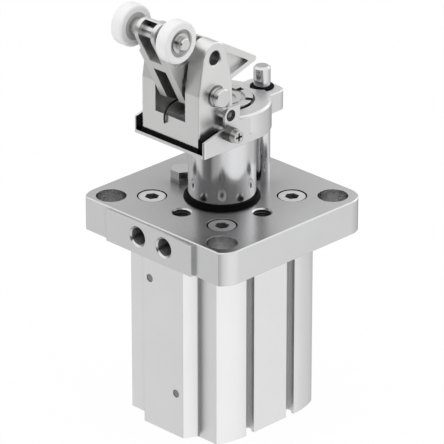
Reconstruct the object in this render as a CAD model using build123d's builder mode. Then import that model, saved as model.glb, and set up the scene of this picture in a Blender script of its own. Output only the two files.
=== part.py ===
from build123d import *
import os
from math import acos, atan2, cos, degrees, hypot, radians, sin, sqrt

os.makedirs("parts", exist_ok=True)

# Pneumatic pallet stopper, sizes in millimetres.
# The origin is on the rod axis in the flange's underside, +Z runs up along the rod,
# -Y is the side of the pallets and of the air ports, +X is to the right.
# The rod stands out and the lever leans to the front, as in the photograph.

# Overrun of the cuts, and the play when edges are picked
cut_margin = 1.0
cut_overlap = 0.1
pick_tolerance = 0.01

# Flange
flange_size = 96.0
flange_thickness = 16.5
flange_corner_radius = 10.5
flange_edge_chamfer = 0.5
port_boss_proud = 2.0
port_boss_y = -flange_size / 2
flange_front_y = port_boss_y + port_boss_proud
port_boss_half_width = 28.0
port_boss_drop = 0.8
flange_front_cut = 20.0
spigot_length = 14.0
spigot_clearance = 0.05
mount_hole_spacing = 73.0
mount_hole_radius = 4.5
mount_counterbore_radius = 7.25
mount_counterbore_depth = 8.6
port_left_x = -7.2
port_right_x = 10.0
port_height = 8.7
port_radius = 4.35
port_mouth_radius = 5.2
port_mouth_depth = 0.9
port_depth = 15.0
spare_hole_radius = 4.25
spare_hole_depth = 12.0
spare_hole_chamfer = 0.6
guide_circle_radius = 26.3

# Clamp screws, flange to barrel
clamp_spacing = 46.1
clamp_counterbore_radius = 7.15
clamp_counterbore_depth = 8.5
clamp_hole_radius = 4.5
clamp_shank_radius = 4.0
clamp_head_radius = 6.4
clamp_head_height = 8.2
clamp_socket_width = 6.0
clamp_socket_depth = 4.0
clamp_reach = 20.0

# Barrel
barrel_length = 92.0
bore_radius = 25.0
barrel_half_width = 32.0
barrel_flat_half_height = 16.0
barrel_side_arc_radius = 36.0
ridge_front_y = -38.7
ridge_half_width = 13.0
ridge_base_half_width = 16.4
ridge_foot_radius = 1.6
slot_offset = 13.4
slot_mouth_width = 5.2
slot_mouth_depth = 1.6
slot_cavity_width = 8.0
slot_cavity_depth = 3.6
duct_radius = 2.0
duct_y = -35.3
duct_left_x = -8.8
duct_right_x = 8.3
duct_upper_z = -16.0
duct_lower_z = -70.1
duct_plug_recess = 0.3
duct_plug_length = 1.1
duct_overrun = 3.0

# End cap
end_cap_top_z = -72.0
end_cap_bottom_z = -88.5
end_cap_recess_radius = 15.0
end_cap_recess_depth = 5.0
end_ring_radius = 26.5
end_ring_inner_radius = 22.8
end_ring_thickness = 1.5
end_ring_gap = 9.0

# Seals in the bore
static_groove_radius = 22.6
static_groove_width = 3.0
flange_groove_z = -8.0
end_cap_groove_z = -82.0
upper_bumper_outer = 22.5
upper_bumper_inner = 18.6
upper_bumper_height = 4.6
lower_bumper_outer = 21.0
lower_bumper_inner = 14.6
lower_bumper_height = 2.7

# Piston rod and its guides
rod_radius = 16.0
rod_exposed = 36.0
rod_bush_clearance = 0.03
rod_bush_outer = 18.0
rod_bush_top_z = 2.0
rod_clear_radius = 16.4
rod_seal_outer = 19.5
rod_seal_z = 5.0
rod_seal_height = 4.0
wiper_outer = 18.0
wiper_seat_z = 12.0
wiper_rise = 2.2
wiper_shoulder_rise = 0.6
wiper_shoulder_chamfer = 0.5
wiper_lip_width = 0.9
seal_clearance = 0.04
rod_spigot_radius = 10.8
rod_foot_radius = 7.0
rod_spigot_inset = 0.5

# Piston
piston_top_z = -19.0
piston_length = 20.0
piston_radius = 24.6
piston_top_land = 2.0
piston_guide_land = 1.5
piston_magnet_land = 1.2
piston_bottom_land = 1.0
piston_seal_groove_radius = 22.2
piston_seal_width = 2.8
piston_guide_groove_radius = 23.3
piston_guide_width = 5.2
piston_magnet_groove_radius = 21.5
piston_magnet_outer = 24.3
piston_magnet_width = 2.5
piston_guide_clearance = 0.05
piston_seal_clearance = 0.03
piston_nut_recess_radius = 13.4
piston_nut_height = 8.0
piston_nut_width = 22.0
piston_nut_inset = 0.6
rod_foot_inset = 0.4

# Guide rod and stop screw
guide_rod_radius = 4.0
guide_rod_rise = 58.0
guide_rod_foot_z = 4.0
guide_rod_chamfer = 1.0
guide_bush_clearance = 0.03
stop_screw_width = 10.0
stop_screw_head = 3.2
stop_nut_height = 2.5
stop_screw_shank_radius = 3.0
stop_screw_foot_z = 1.0

# Head plate, heights above the flange top
plate_top_rise = 49.2
plate_radius = 23.0
plate_edge_chamfer = 0.9
tray_front_y = -34.3
tray_corner_radius = 1.0
tray_floor_rise = 37.5
pad_rise = 39.7
pad_front_y = -30.3
pad_rear_y = -11.3
wall_inner_x = 21.7
wall_front_rise = 44.0
wall_below_ear = 5.6
wall_rear_y = -5.0
wall_step = 0.4
ear_y = -17.2
ear_below_pivot = 10.0
ear_radius = 3.9
ear_screw_radius = 2.8
ear_screw_tip_radius = 2.2
ear_screw_tip_x = 12.0
ear_screw_end_x = 22.5
ear_screw_socket_width = 3.0
ear_screw_socket_depth = 2.5
side_screw_y = -19.0
side_screw_below_ear = 8.1
side_screw_radius = 3.3
side_screw_tip_x = 12.0
side_screw_neck_x = 27.3
side_screw_head_radius = 3.1
side_screw_head_x = 30.0
side_screw_cross_width = 1.0
side_screw_cross_length = 4.0
side_screw_cross_depth = 1.2
lug_half_width = 10.3
lug_rear_y = 32.8
lug_corner_radius = 5.0
lug_bottom_rise = 37.9
lug_top_rise = 47.4
lug_edge_chamfer = 0.5
guide_bush_radius = 5.65
guide_bush_rise = 0.5
guide_recess_radius = 8.5
nut_counterbore_radius = 15.3
nut_counterbore_rise = 46.4

# Slotted ring nut
ring_nut_radius = 14.3
ring_nut_top_rise = 50.4
ring_nut_slot_length = 8.0
ring_nut_slot_width = 3.0
ring_nut_slot_depth = 2.2
ring_nut_slots = 6

# Fork
fork_half_width = 18.6
fork_slot_half_width = 9.7
fork_front_y = -33.4
fork_rear_y = -11.6
fork_wall_thickness = 3.5
fork_slot_length = 40.0
fork_cut_reach = 60.0
fork_slab_rise = 45.0
fork_window_rise = 50.4
fork_shoulder_rise = 65.0
fork_ear_y = -22.9
fork_ear_rise = 81.4
fork_ear_radius = 7.6
fork_ear_hole_radius = 3.4
fork_rear_rise = 58.0
fork_back_high = (-13.2, -8.0)
fork_back_mid = (-11.7, -15.2)
fork_edge_chamfer = 0.5
fork_screw_x = 13.5
fork_screw_y = -25.3
fork_screw_radius = 2.5
fork_screw_head_radius = 4.8
fork_screw_head_height = 2.4
fork_screw_rise = 50.0
fork_screw_socket_width = 3.0
fork_screw_socket_depth = 1.6

# Liner
liner_front_y = -34.0
liner_side_rise = 44.5

# Pivot
pivot_y = -22.5
pivot_rise = 62.8
pivot_radius = 4.5
pivot_end_x = 23.6
pivot_end_chamfer = 0.5
pivot_groove_radius = 4.0
pivot_clip_thickness = 1.0
pivot_clip_radius = 5.15
pivot_clip_gap = 3.0
pivot_recess_radius = 5.2
pivot_recess_depth = 1.3
pivot_end_groove_radius = 4.15
pivot_end_groove_x = 20.7
pivot_end_groove_width = 1.1
pivot_running_clearance = 0.04
washer_clearance = 0.1
washer_radius = 8.0

# Lever, in its own plane: p runs to the front and q up when the lever is upright
lever_lean = 35.0
lever_half_width = 8.5
lever_window_half_width = 4.0
lever_hub_half_width = 6.4
lever_hub = (-0.84, 38.21)
lever_hub_radius = 5.7
lever_boss_radius = 8.0
lever_bush_radius = 5.9
lever_front_low = (9.96, 1.41)
lever_front_mid = (6.56, 24.91)
lever_apex = (-33.44, -16.19)
lever_apex_radius = 1.5
lever_rim = 3.0
lever_web = 1.8
lever_web_bend_high = 1.0
lever_web_bend_low = 2.0
lever_bottom_q = -6.81
lever_bottom_slope = 0.328
lever_crossbar_low_q = 20.0
lever_crossbar_high_q = 24.9
lever_crossbar_depth = 4.6
lever_pocket_depth = 2.5
lever_pocket_boss_radius = 8.6
lever_pocket_back_q = (13.2, -11.5)
lever_pocket_bottom = ((-28.5, -13.7), (-17.5, -10.1), (-0.8, -5.3))
lever_pocket_front = ((-0.8, 0.7), (5.8, 6.9), (5.2, 13.1))
lever_upper_pocket_back_q = (28.7, 17.0)
lever_upper_pocket_front = ((-3.5, 17.0), (2.3, 19.5), (3.8, 23.6), (2.6, 28.7))
lever_taper_start_q = 28.7
lever_taper_end_q = 32.3
lever_cut_reach = 60.0
lever_cut_low = -40.0
nose_radius = 3.0
nose_reach = 22.5
nose_angle = 8.8

# Rollers
axle_radius = 3.0
axle_end_x = 20.8
axle_end_chamfer = 0.5
roller_radius = 10.0
roller_inner_x = 11.1
roller_outer_x = 18.0
roller_edge_radius = 1.2
roller_hub_radius = 6.6
roller_hub_x = 16.8
roller_running_clearance = 0.04
roller_side_clearance = 0.1
spacer_radius = 4.4
axle_clip_radius = 4.7
axle_clip_thickness = 0.8
axle_clip_gap = 2.4
axle_groove_radius = 2.6

# Shock absorber
shock_radius = 9.0
shock_bottom_rise = -10.0
shock_top_rise = 50.0
shock_bore_radius = 6.5
shock_floor = 2.0
shock_bearing_bottom_rise = 41.0
shock_bearing_top_rise = 49.2
plunger_radius = 2.8
plunger_clearance = 0.04
plunger_cap_radius = 3.3
plunger_cap_height = 2.4
plunger_gap = 0.26
plunger_head_radius = 6.44
plunger_head_bottom_rise = 17.0
plunger_head_height = 4.0
shock_spring_radius = 5.0
shock_spring_wire = 1.4
shock_spring_turns = 7

# Return spring
spring_wire_radius = 0.65
spring_coil_radius = 7.3
spring_turns = 4
spring_half_width = 2.9
spring_seat_gap = 0.02
spring_bend_radius = 1.5
spring_hook_low_rise = 46.4
spring_leg_q = 23.7

# Derived heights and planes
top = flange_thickness
plate_z = top + rod_exposed
plate_top = top + plate_top_rise
head_top = top + max(plate_top_rise, lug_top_rise)
pad_z = top + pad_rise
rod_spigot_top = top + shock_top_rise - rod_spigot_inset
pivot_z = top + pivot_rise
ear_rise = pivot_rise - ear_below_pivot
side_screw_rise = ear_rise - side_screw_below_ear
wall_rear_rise = ear_rise - wall_below_ear
lever_plane = Plane(
    origin=(0, pivot_y, pivot_z),
    x_dir=(0, -cos(radians(lever_lean)), -sin(radians(lever_lean))),
    z_dir=(-1, 0, 0),
)
nose_y = pivot_y + nose_reach * cos(radians(nose_angle))
nose_z = pivot_z + nose_reach * sin(radians(nose_angle))
plunger_top = nose_z - nose_radius - plunger_gap


def lever_point(p, q):
    """A point of the lever's own plane, as y and z of the whole part."""
    lean = radians(lever_lean)
    return (pivot_y - p * cos(lean) - q * sin(lean), pivot_z + q * cos(lean) - p * sin(lean))


axle_y, axle_z = lever_point(*lever_hub)


def ring(label, outer, inner, bottom, height):
    """A plain ring round the rod axis."""
    with BuildPart() as piece:
        with BuildSketch(Plane.XY.offset(bottom)):
            Circle(outer)
            Circle(inner, mode=Mode.SUBTRACT)
        extrude(amount=height)
    piece.part.label = label
    return piece.part


def tangent_point(point, centre, radius, side):
    """Where a line from the point touches the circle, on the given side."""
    across = point[0] - centre[0]
    up = point[1] - centre[1]
    turn = atan2(up, across) + side * acos(radius / hypot(across, up))
    return (centre[0] + radius * cos(turn), centre[1] + radius * sin(turn))


# Flange with the port boss, the spigot and all of its bores
with BuildPart() as flange:
    with BuildSketch(Plane.XY):
        RectangleRounded(flange_size, flange_size, flange_corner_radius)
    extrude(amount=flange_thickness)
    front_cut_y = flange_front_y - flange_front_cut / 2
    for side in (-1, 1):
        with BuildSketch(Plane.XY):
            with Locations((side * (port_boss_half_width + flange_size) / 2, front_cut_y)):
                Rectangle(flange_size - port_boss_half_width, flange_front_cut)
        extrude(amount=flange_thickness, mode=Mode.SUBTRACT)
    with BuildSketch(Plane.XY.offset(flange_thickness - port_boss_drop)):
        with Locations((0, front_cut_y)):
            Rectangle(flange_size, flange_front_cut)
    extrude(amount=port_boss_drop, mode=Mode.SUBTRACT)
    chamfer(flange.faces().sort_by(Axis.Z)[-1].outer_wire().edges(), flange_edge_chamfer)
    with BuildSketch(Plane.XY):
        Circle(bore_radius - spigot_clearance)
    extrude(amount=-spigot_length)
    with BuildSketch(Plane.XY.offset(flange_groove_z)):
        Circle(bore_radius + cut_margin)
        Circle(static_groove_radius, mode=Mode.SUBTRACT)
    extrude(amount=static_groove_width, mode=Mode.SUBTRACT)
    with BuildSketch(Plane.XY.offset(-spigot_length)):
        Circle(rod_clear_radius)
    extrude(amount=spigot_length + flange_thickness, mode=Mode.SUBTRACT)
    with BuildSketch(Plane.XY.offset(-spigot_length)):
        Circle(rod_bush_outer)
    extrude(amount=spigot_length + rod_bush_top_z, mode=Mode.SUBTRACT)
    with BuildSketch(Plane.XY.offset(rod_seal_z)):
        Circle(rod_seal_outer)
    extrude(amount=rod_seal_height, mode=Mode.SUBTRACT)
    with BuildSketch(Plane.XY.offset(wiper_seat_z)):
        Circle(wiper_outer)
    extrude(amount=flange_thickness - wiper_seat_z, mode=Mode.SUBTRACT)
    with BuildSketch(Plane.XY):
        with GridLocations(mount_hole_spacing, mount_hole_spacing, 2, 2):
            Circle(mount_hole_radius)
        with GridLocations(clamp_spacing, clamp_spacing, 2, 2):
            Circle(clamp_hole_radius)
    extrude(amount=flange_thickness, mode=Mode.SUBTRACT)
    with BuildSketch(Plane.XY.offset(flange_thickness)):
        with GridLocations(mount_hole_spacing, mount_hole_spacing, 2, 2):
            Circle(mount_counterbore_radius)
    extrude(amount=-mount_counterbore_depth, mode=Mode.SUBTRACT)
    with BuildSketch(Plane.XY.offset(flange_thickness)):
        with GridLocations(clamp_spacing, clamp_spacing, 2, 2):
            Circle(clamp_counterbore_radius)
    extrude(amount=-clamp_counterbore_depth, mode=Mode.SUBTRACT)
    with BuildSketch(Plane.XY.offset(flange_thickness)):
        with Locations((0, -guide_circle_radius), (guide_circle_radius, 0)):
            Circle(spare_hole_radius)
    extrude(amount=-spare_hole_depth, mode=Mode.SUBTRACT)
    with BuildSketch(Plane.XY.offset(flange_thickness)):
        with Locations((0, -guide_circle_radius), (guide_circle_radius, 0)):
            Circle(spare_hole_radius + spare_hole_chamfer)
    extrude(amount=-spare_hole_chamfer, taper=45, mode=Mode.SUBTRACT)
    with BuildSketch(Plane.XY.offset(guide_rod_foot_z)):
        with Locations((0, guide_circle_radius)):
            Circle(guide_rod_radius)
    extrude(amount=flange_thickness, mode=Mode.SUBTRACT)
    with BuildSketch(Plane.XY.offset(stop_screw_foot_z)):
        with Locations((-guide_circle_radius, 0)):
            Circle(stop_screw_shank_radius)
    extrude(amount=flange_thickness, mode=Mode.SUBTRACT)
    with BuildSketch(Plane.XZ.offset(-port_boss_y)):
        with Locations((port_left_x, port_height), (port_right_x, port_height)):
            Circle(port_radius)
    extrude(amount=-port_depth, mode=Mode.SUBTRACT)
    with BuildSketch(Plane.XZ.offset(-port_boss_y)):
        with Locations((port_left_x, port_height), (port_right_x, port_height)):
            Circle(port_mouth_radius)
    extrude(amount=-port_mouth_depth, taper=40, mode=Mode.SUBTRACT)
    with BuildSketch(Plane.XY):
        with Locations((duct_left_x, duct_y), (duct_right_x, duct_y)):
            Circle(duct_radius)
    extrude(amount=port_height, mode=Mode.SUBTRACT)
flange.part.label = "flange"
export_step(flange.part, "parts/flange.step")

# Barrel: extruded profile with the duct ridge in front and T-slots on the other sides
side_arc_x = barrel_half_width - barrel_side_arc_radius
side_arc_rise = barrel_half_width - barrel_flat_half_height
barrel_corner_x = side_arc_x + sqrt(barrel_side_arc_radius**2 - side_arc_rise**2)
arc_turn = atan2(side_arc_rise, barrel_corner_x - side_arc_x) / 2
arc_mid_x = side_arc_x + barrel_side_arc_radius * cos(arc_turn)
arc_mid_y = barrel_flat_half_height + barrel_side_arc_radius * sin(arc_turn)
cavity_centre = barrel_half_width - slot_mouth_depth - slot_cavity_depth / 2
mouth_depth = 2 * (slot_mouth_depth + cut_overlap)
with BuildPart() as barrel:
    with BuildSketch(Plane.XY.offset(-barrel_length)):
        with BuildLine():
            Polyline((0, barrel_half_width), (barrel_corner_x, barrel_half_width))
            ThreePointArc(
                (barrel_corner_x, barrel_half_width),
                (arc_mid_x, arc_mid_y),
                (barrel_half_width, barrel_flat_half_height),
            )
            Line((barrel_half_width, barrel_flat_half_height), (barrel_half_width, -barrel_flat_half_height))
            ThreePointArc(
                (barrel_half_width, -barrel_flat_half_height),
                (arc_mid_x, -arc_mid_y),
                (barrel_corner_x, -barrel_half_width),
            )
            Polyline(
                (barrel_corner_x, -barrel_half_width),
                (ridge_base_half_width, -barrel_half_width),
                (ridge_half_width, ridge_front_y),
                (0, ridge_front_y),
            )
            mirror(about=Plane.YZ)
        make_face()
        foot_corners = []
        for corner in vertices():
            if abs(abs(corner.X) - ridge_base_half_width) < pick_tolerance:
                foot_corners.append(corner)
        fillet(foot_corners, ridge_foot_radius)
        Circle(bore_radius, mode=Mode.SUBTRACT)
        with GridLocations(clamp_spacing, clamp_spacing, 2, 2):
            Circle(clamp_shank_radius, mode=Mode.SUBTRACT)
        for side in (-1, 1):
            for row in (-1, 1):
                with Locations((side * barrel_half_width, row * slot_offset)):
                    Rectangle(mouth_depth, slot_mouth_width, mode=Mode.SUBTRACT)
                with Locations((side * cavity_centre, row * slot_offset)):
                    Rectangle(slot_cavity_depth, slot_cavity_width, mode=Mode.SUBTRACT)
            with Locations((side * slot_offset, barrel_half_width)):
                Rectangle(slot_mouth_width, mouth_depth, mode=Mode.SUBTRACT)
            with Locations((side * slot_offset, cavity_centre)):
                Rectangle(slot_cavity_width, slot_cavity_depth, mode=Mode.SUBTRACT)
    extrude(amount=barrel_length)
    with BuildSketch(Plane.XY.offset(end_cap_bottom_z - end_ring_thickness)):
        Circle(end_ring_radius)
    extrude(amount=end_ring_thickness, mode=Mode.SUBTRACT)
    with BuildSketch(Plane.XY):
        with Locations((duct_left_x, duct_y)):
            Circle(duct_radius)
    extrude(amount=duct_upper_z - duct_radius, mode=Mode.SUBTRACT)
    with BuildSketch(Plane.XY):
        with Locations((duct_right_x, duct_y)):
            Circle(duct_radius)
    extrude(amount=duct_lower_z - duct_radius, mode=Mode.SUBTRACT)
    with BuildSketch(Plane.XZ.offset(-ridge_front_y)):
        with Locations((duct_left_x, duct_upper_z), (duct_right_x, duct_lower_z)):
            Circle(duct_radius)
    extrude(amount=ridge_front_y + bore_radius - duct_overrun, mode=Mode.SUBTRACT)
barrel.part.label = "barrel"
export_step(barrel.part, "parts/barrel.step")

# Plugs that close the cross ducts at the front
with BuildPart() as duct_plugs:
    with BuildSketch(Plane.XZ.offset(-ridge_front_y - duct_plug_recess)):
        with Locations((duct_left_x, duct_upper_z), (duct_right_x, duct_lower_z)):
            Circle(duct_radius)
    extrude(amount=-duct_plug_length)
duct_plugs.part.label = "duct_plugs"
export_step(duct_plugs.part, "parts/duct_plugs.step")

# End cap with its seal and retaining ring
with BuildPart() as end_cap:
    with BuildSketch(Plane.XY.offset(end_cap_bottom_z)):
        Circle(bore_radius - spigot_clearance)
    extrude(amount=end_cap_top_z - end_cap_bottom_z)
    with BuildSketch(Plane.XY.offset(end_cap_groove_z)):
        Circle(bore_radius + cut_margin)
        Circle(static_groove_radius, mode=Mode.SUBTRACT)
    extrude(amount=static_groove_width, mode=Mode.SUBTRACT)
    with BuildSketch(Plane.XY.offset(end_cap_bottom_z)):
        Circle(end_cap_recess_radius)
    extrude(amount=end_cap_recess_depth, mode=Mode.SUBTRACT)
end_cap.part.label = "end_cap"
export_step(end_cap.part, "parts/end_cap.step")

end_cap_seal = ring("end_cap_seal", bore_radius, static_groove_radius, end_cap_groove_z, static_groove_width)
export_step(end_cap_seal, "parts/end_cap_seal.step")

with BuildPart() as end_cap_ring:
    with BuildSketch(Plane.XY.offset(end_cap_bottom_z - end_ring_thickness)):
        Circle(end_ring_radius)
        Circle(end_ring_inner_radius, mode=Mode.SUBTRACT)
        with Locations((0, end_ring_radius)):
            Rectangle(end_ring_gap, 4 * (end_ring_radius - end_ring_inner_radius), mode=Mode.SUBTRACT)
    extrude(amount=end_ring_thickness)
end_cap_ring.part.label = "end_cap_ring"
export_step(end_cap_ring.part, "parts/end_cap_ring.step")

# Rings in the flange and at both ends of the bore
flange_seal = ring("flange_seal", bore_radius, static_groove_radius, flange_groove_z, static_groove_width)
export_step(flange_seal, "parts/flange_seal.step")

rod_bush = ring(
    "rod_bush",
    rod_bush_outer,
    rod_radius + rod_bush_clearance,
    -spigot_length,
    spigot_length + rod_bush_top_z,
)
export_step(rod_bush, "parts/rod_bush.step")

rod_seal = ring("rod_seal", rod_seal_outer, rod_radius + seal_clearance, rod_seal_z, rod_seal_height)
export_step(rod_seal, "parts/rod_seal.step")

upper_bumper = ring(
    "upper_bumper",
    upper_bumper_outer,
    upper_bumper_inner,
    -spigot_length - upper_bumper_height,
    upper_bumper_height,
)
export_step(upper_bumper, "parts/upper_bumper.step")

lower_bumper = ring(
    "lower_bumper",
    lower_bumper_outer,
    lower_bumper_inner,
    end_cap_top_z,
    lower_bumper_height,
)
export_step(lower_bumper, "parts/lower_bumper.step")

# Wiper ring round the rod, proud of the flange with a sloping lip
with BuildPart() as wiper_ring:
    with BuildSketch(Plane.XZ):
        Polygon(
            (rod_radius + seal_clearance, wiper_seat_z),
            (wiper_outer, wiper_seat_z),
            (wiper_outer, top + wiper_shoulder_rise),
            (wiper_outer - wiper_shoulder_chamfer, top + wiper_shoulder_rise + wiper_shoulder_chamfer),
            (rod_radius + wiper_lip_width, top + wiper_rise),
            (rod_radius + seal_clearance, top + wiper_rise),
            align=None,
        )
    revolve(axis=Axis.Z)
wiper_ring.part.label = "wiper_ring"
export_step(wiper_ring.part, "parts/wiper_ring.step")

# Four socket screws that clamp the flange to the barrel
clamp_seat = flange_thickness - clamp_counterbore_depth
with BuildPart() as clamp_screws:
    with BuildSketch(Plane.XY.offset(-clamp_reach)):
        with GridLocations(clamp_spacing, clamp_spacing, 2, 2):
            Circle(clamp_shank_radius)
    extrude(amount=clamp_reach + clamp_seat)
    with BuildSketch(Plane.XY.offset(clamp_seat)):
        with GridLocations(clamp_spacing, clamp_spacing, 2, 2):
            Circle(clamp_head_radius)
    extrude(amount=clamp_head_height)
    with BuildSketch(Plane.XY.offset(clamp_seat + clamp_head_height)):
        with GridLocations(clamp_spacing, clamp_spacing, 2, 2):
            RegularPolygon(clamp_socket_width / sqrt(3), 6)
    extrude(amount=-clamp_socket_depth, mode=Mode.SUBTRACT)
clamp_screws.part.label = "clamp_screws"
export_step(clamp_screws.part, "parts/clamp_screws.step")

# Guide rod that keeps the head from turning
with BuildPart() as guide_rod:
    with BuildSketch(Plane.XY.offset(guide_rod_foot_z)):
        with Locations((0, guide_circle_radius)):
            Circle(guide_rod_radius)
    extrude(amount=top + guide_rod_rise - guide_rod_foot_z)
    chamfer(guide_rod.faces().sort_by(Axis.Z)[-1].edges(), guide_rod_chamfer)
guide_rod.part.label = "guide_rod"
export_step(guide_rod.part, "parts/guide_rod.step")

# Hexagon screw and lock nut that the head lands on
with BuildPart() as stop_lock_nut:
    with BuildSketch(Plane.XY.offset(top)):
        with Locations((-guide_circle_radius, 0)):
            RegularPolygon(stop_screw_width / sqrt(3), 6)
            Circle(stop_screw_shank_radius, mode=Mode.SUBTRACT)
    extrude(amount=stop_nut_height)
stop_lock_nut.part.label = "stop_lock_nut"
export_step(stop_lock_nut.part, "parts/stop_lock_nut.step")

with BuildPart() as stop_screw:
    with BuildSketch(Plane.XY.offset(stop_screw_foot_z)):
        with Locations((-guide_circle_radius, 0)):
            Circle(stop_screw_shank_radius)
    extrude(amount=top + stop_nut_height - stop_screw_foot_z)
    with BuildSketch(Plane.XY.offset(top + stop_nut_height)):
        with Locations((-guide_circle_radius, 0)):
            RegularPolygon(stop_screw_width / sqrt(3), 6)
    extrude(amount=stop_screw_head)
stop_screw.part.label = "stop_screw"
export_step(stop_screw.part, "parts/stop_screw.step")

# Piston with its rings and nut
piston_bottom = piston_top_z - piston_length
upper_seal_z = piston_top_z - piston_top_land - piston_seal_width
guide_ring_z = upper_seal_z - piston_guide_land - piston_guide_width
magnet_z = guide_ring_z - piston_magnet_land - piston_magnet_width
lower_seal_z = piston_bottom + piston_bottom_land
with BuildPart() as piston:
    with BuildSketch(Plane.XY.offset(piston_bottom)):
        Circle(piston_radius)
        Circle(rod_foot_radius, mode=Mode.SUBTRACT)
    extrude(amount=piston_length)
    with BuildSketch(Plane.XY.offset(piston_bottom)):
        Circle(piston_nut_recess_radius)
    extrude(amount=piston_nut_height, mode=Mode.SUBTRACT)
    for groove in (
        (upper_seal_z, piston_seal_groove_radius, piston_seal_width),
        (guide_ring_z, piston_guide_groove_radius, piston_guide_width),
        (magnet_z, piston_magnet_groove_radius, piston_magnet_width),
        (lower_seal_z, piston_seal_groove_radius, piston_seal_width),
    ):
        with BuildSketch(Plane.XY.offset(groove[0])):
            Circle(bore_radius)
            Circle(groove[1], mode=Mode.SUBTRACT)
        extrude(amount=groove[2], mode=Mode.SUBTRACT)
piston.part.label = "piston"
export_step(piston.part, "parts/piston.step")

with BuildPart() as piston_seals:
    for bottom in (upper_seal_z, lower_seal_z):
        with BuildSketch(Plane.XY.offset(bottom)):
            Circle(bore_radius - piston_seal_clearance)
            Circle(piston_seal_groove_radius, mode=Mode.SUBTRACT)
        extrude(amount=piston_seal_width)
piston_seals.part.label = "piston_seals"
export_step(piston_seals.part, "parts/piston_seals.step")

piston_guide_ring = ring(
    "piston_guide_ring",
    bore_radius - piston_guide_clearance,
    piston_guide_groove_radius,
    guide_ring_z,
    piston_guide_width,
)
export_step(piston_guide_ring, "parts/piston_guide_ring.step")

piston_magnet = ring(
    "piston_magnet",
    piston_magnet_outer,
    piston_magnet_groove_radius,
    magnet_z,
    piston_magnet_width,
)
export_step(piston_magnet, "parts/piston_magnet.step")

with BuildPart() as piston_nut:
    with BuildSketch(Plane.XY.offset(piston_bottom + piston_nut_inset)):
        RegularPolygon(piston_nut_width / sqrt(3), 6)
        Circle(rod_foot_radius, mode=Mode.SUBTRACT)
    extrude(amount=piston_nut_height - piston_nut_inset)
piston_nut.part.label = "piston_nut"
export_step(piston_nut.part, "parts/piston_nut.step")

# Hollow piston rod with a foot for the piston and a spigot for the head
with BuildPart() as piston_rod:
    with BuildSketch(Plane.XY.offset(piston_top_z)):
        Circle(rod_radius)
    extrude(amount=plate_z - piston_top_z)
    with BuildSketch(Plane.XY.offset(piston_bottom + rod_foot_inset)):
        Circle(rod_foot_radius)
    extrude(amount=piston_length - rod_foot_inset)
    with BuildSketch(Plane.XY.offset(plate_z)):
        Circle(rod_spigot_radius)
    extrude(amount=rod_spigot_top - plate_z)
    with BuildSketch(Plane.XY.offset(top + shock_bottom_rise)):
        Circle(shock_radius)
    extrude(amount=rod_spigot_top, mode=Mode.SUBTRACT)
piston_rod.part.label = "piston_rod"
export_step(piston_rod.part, "parts/piston_rod.step")

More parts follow.
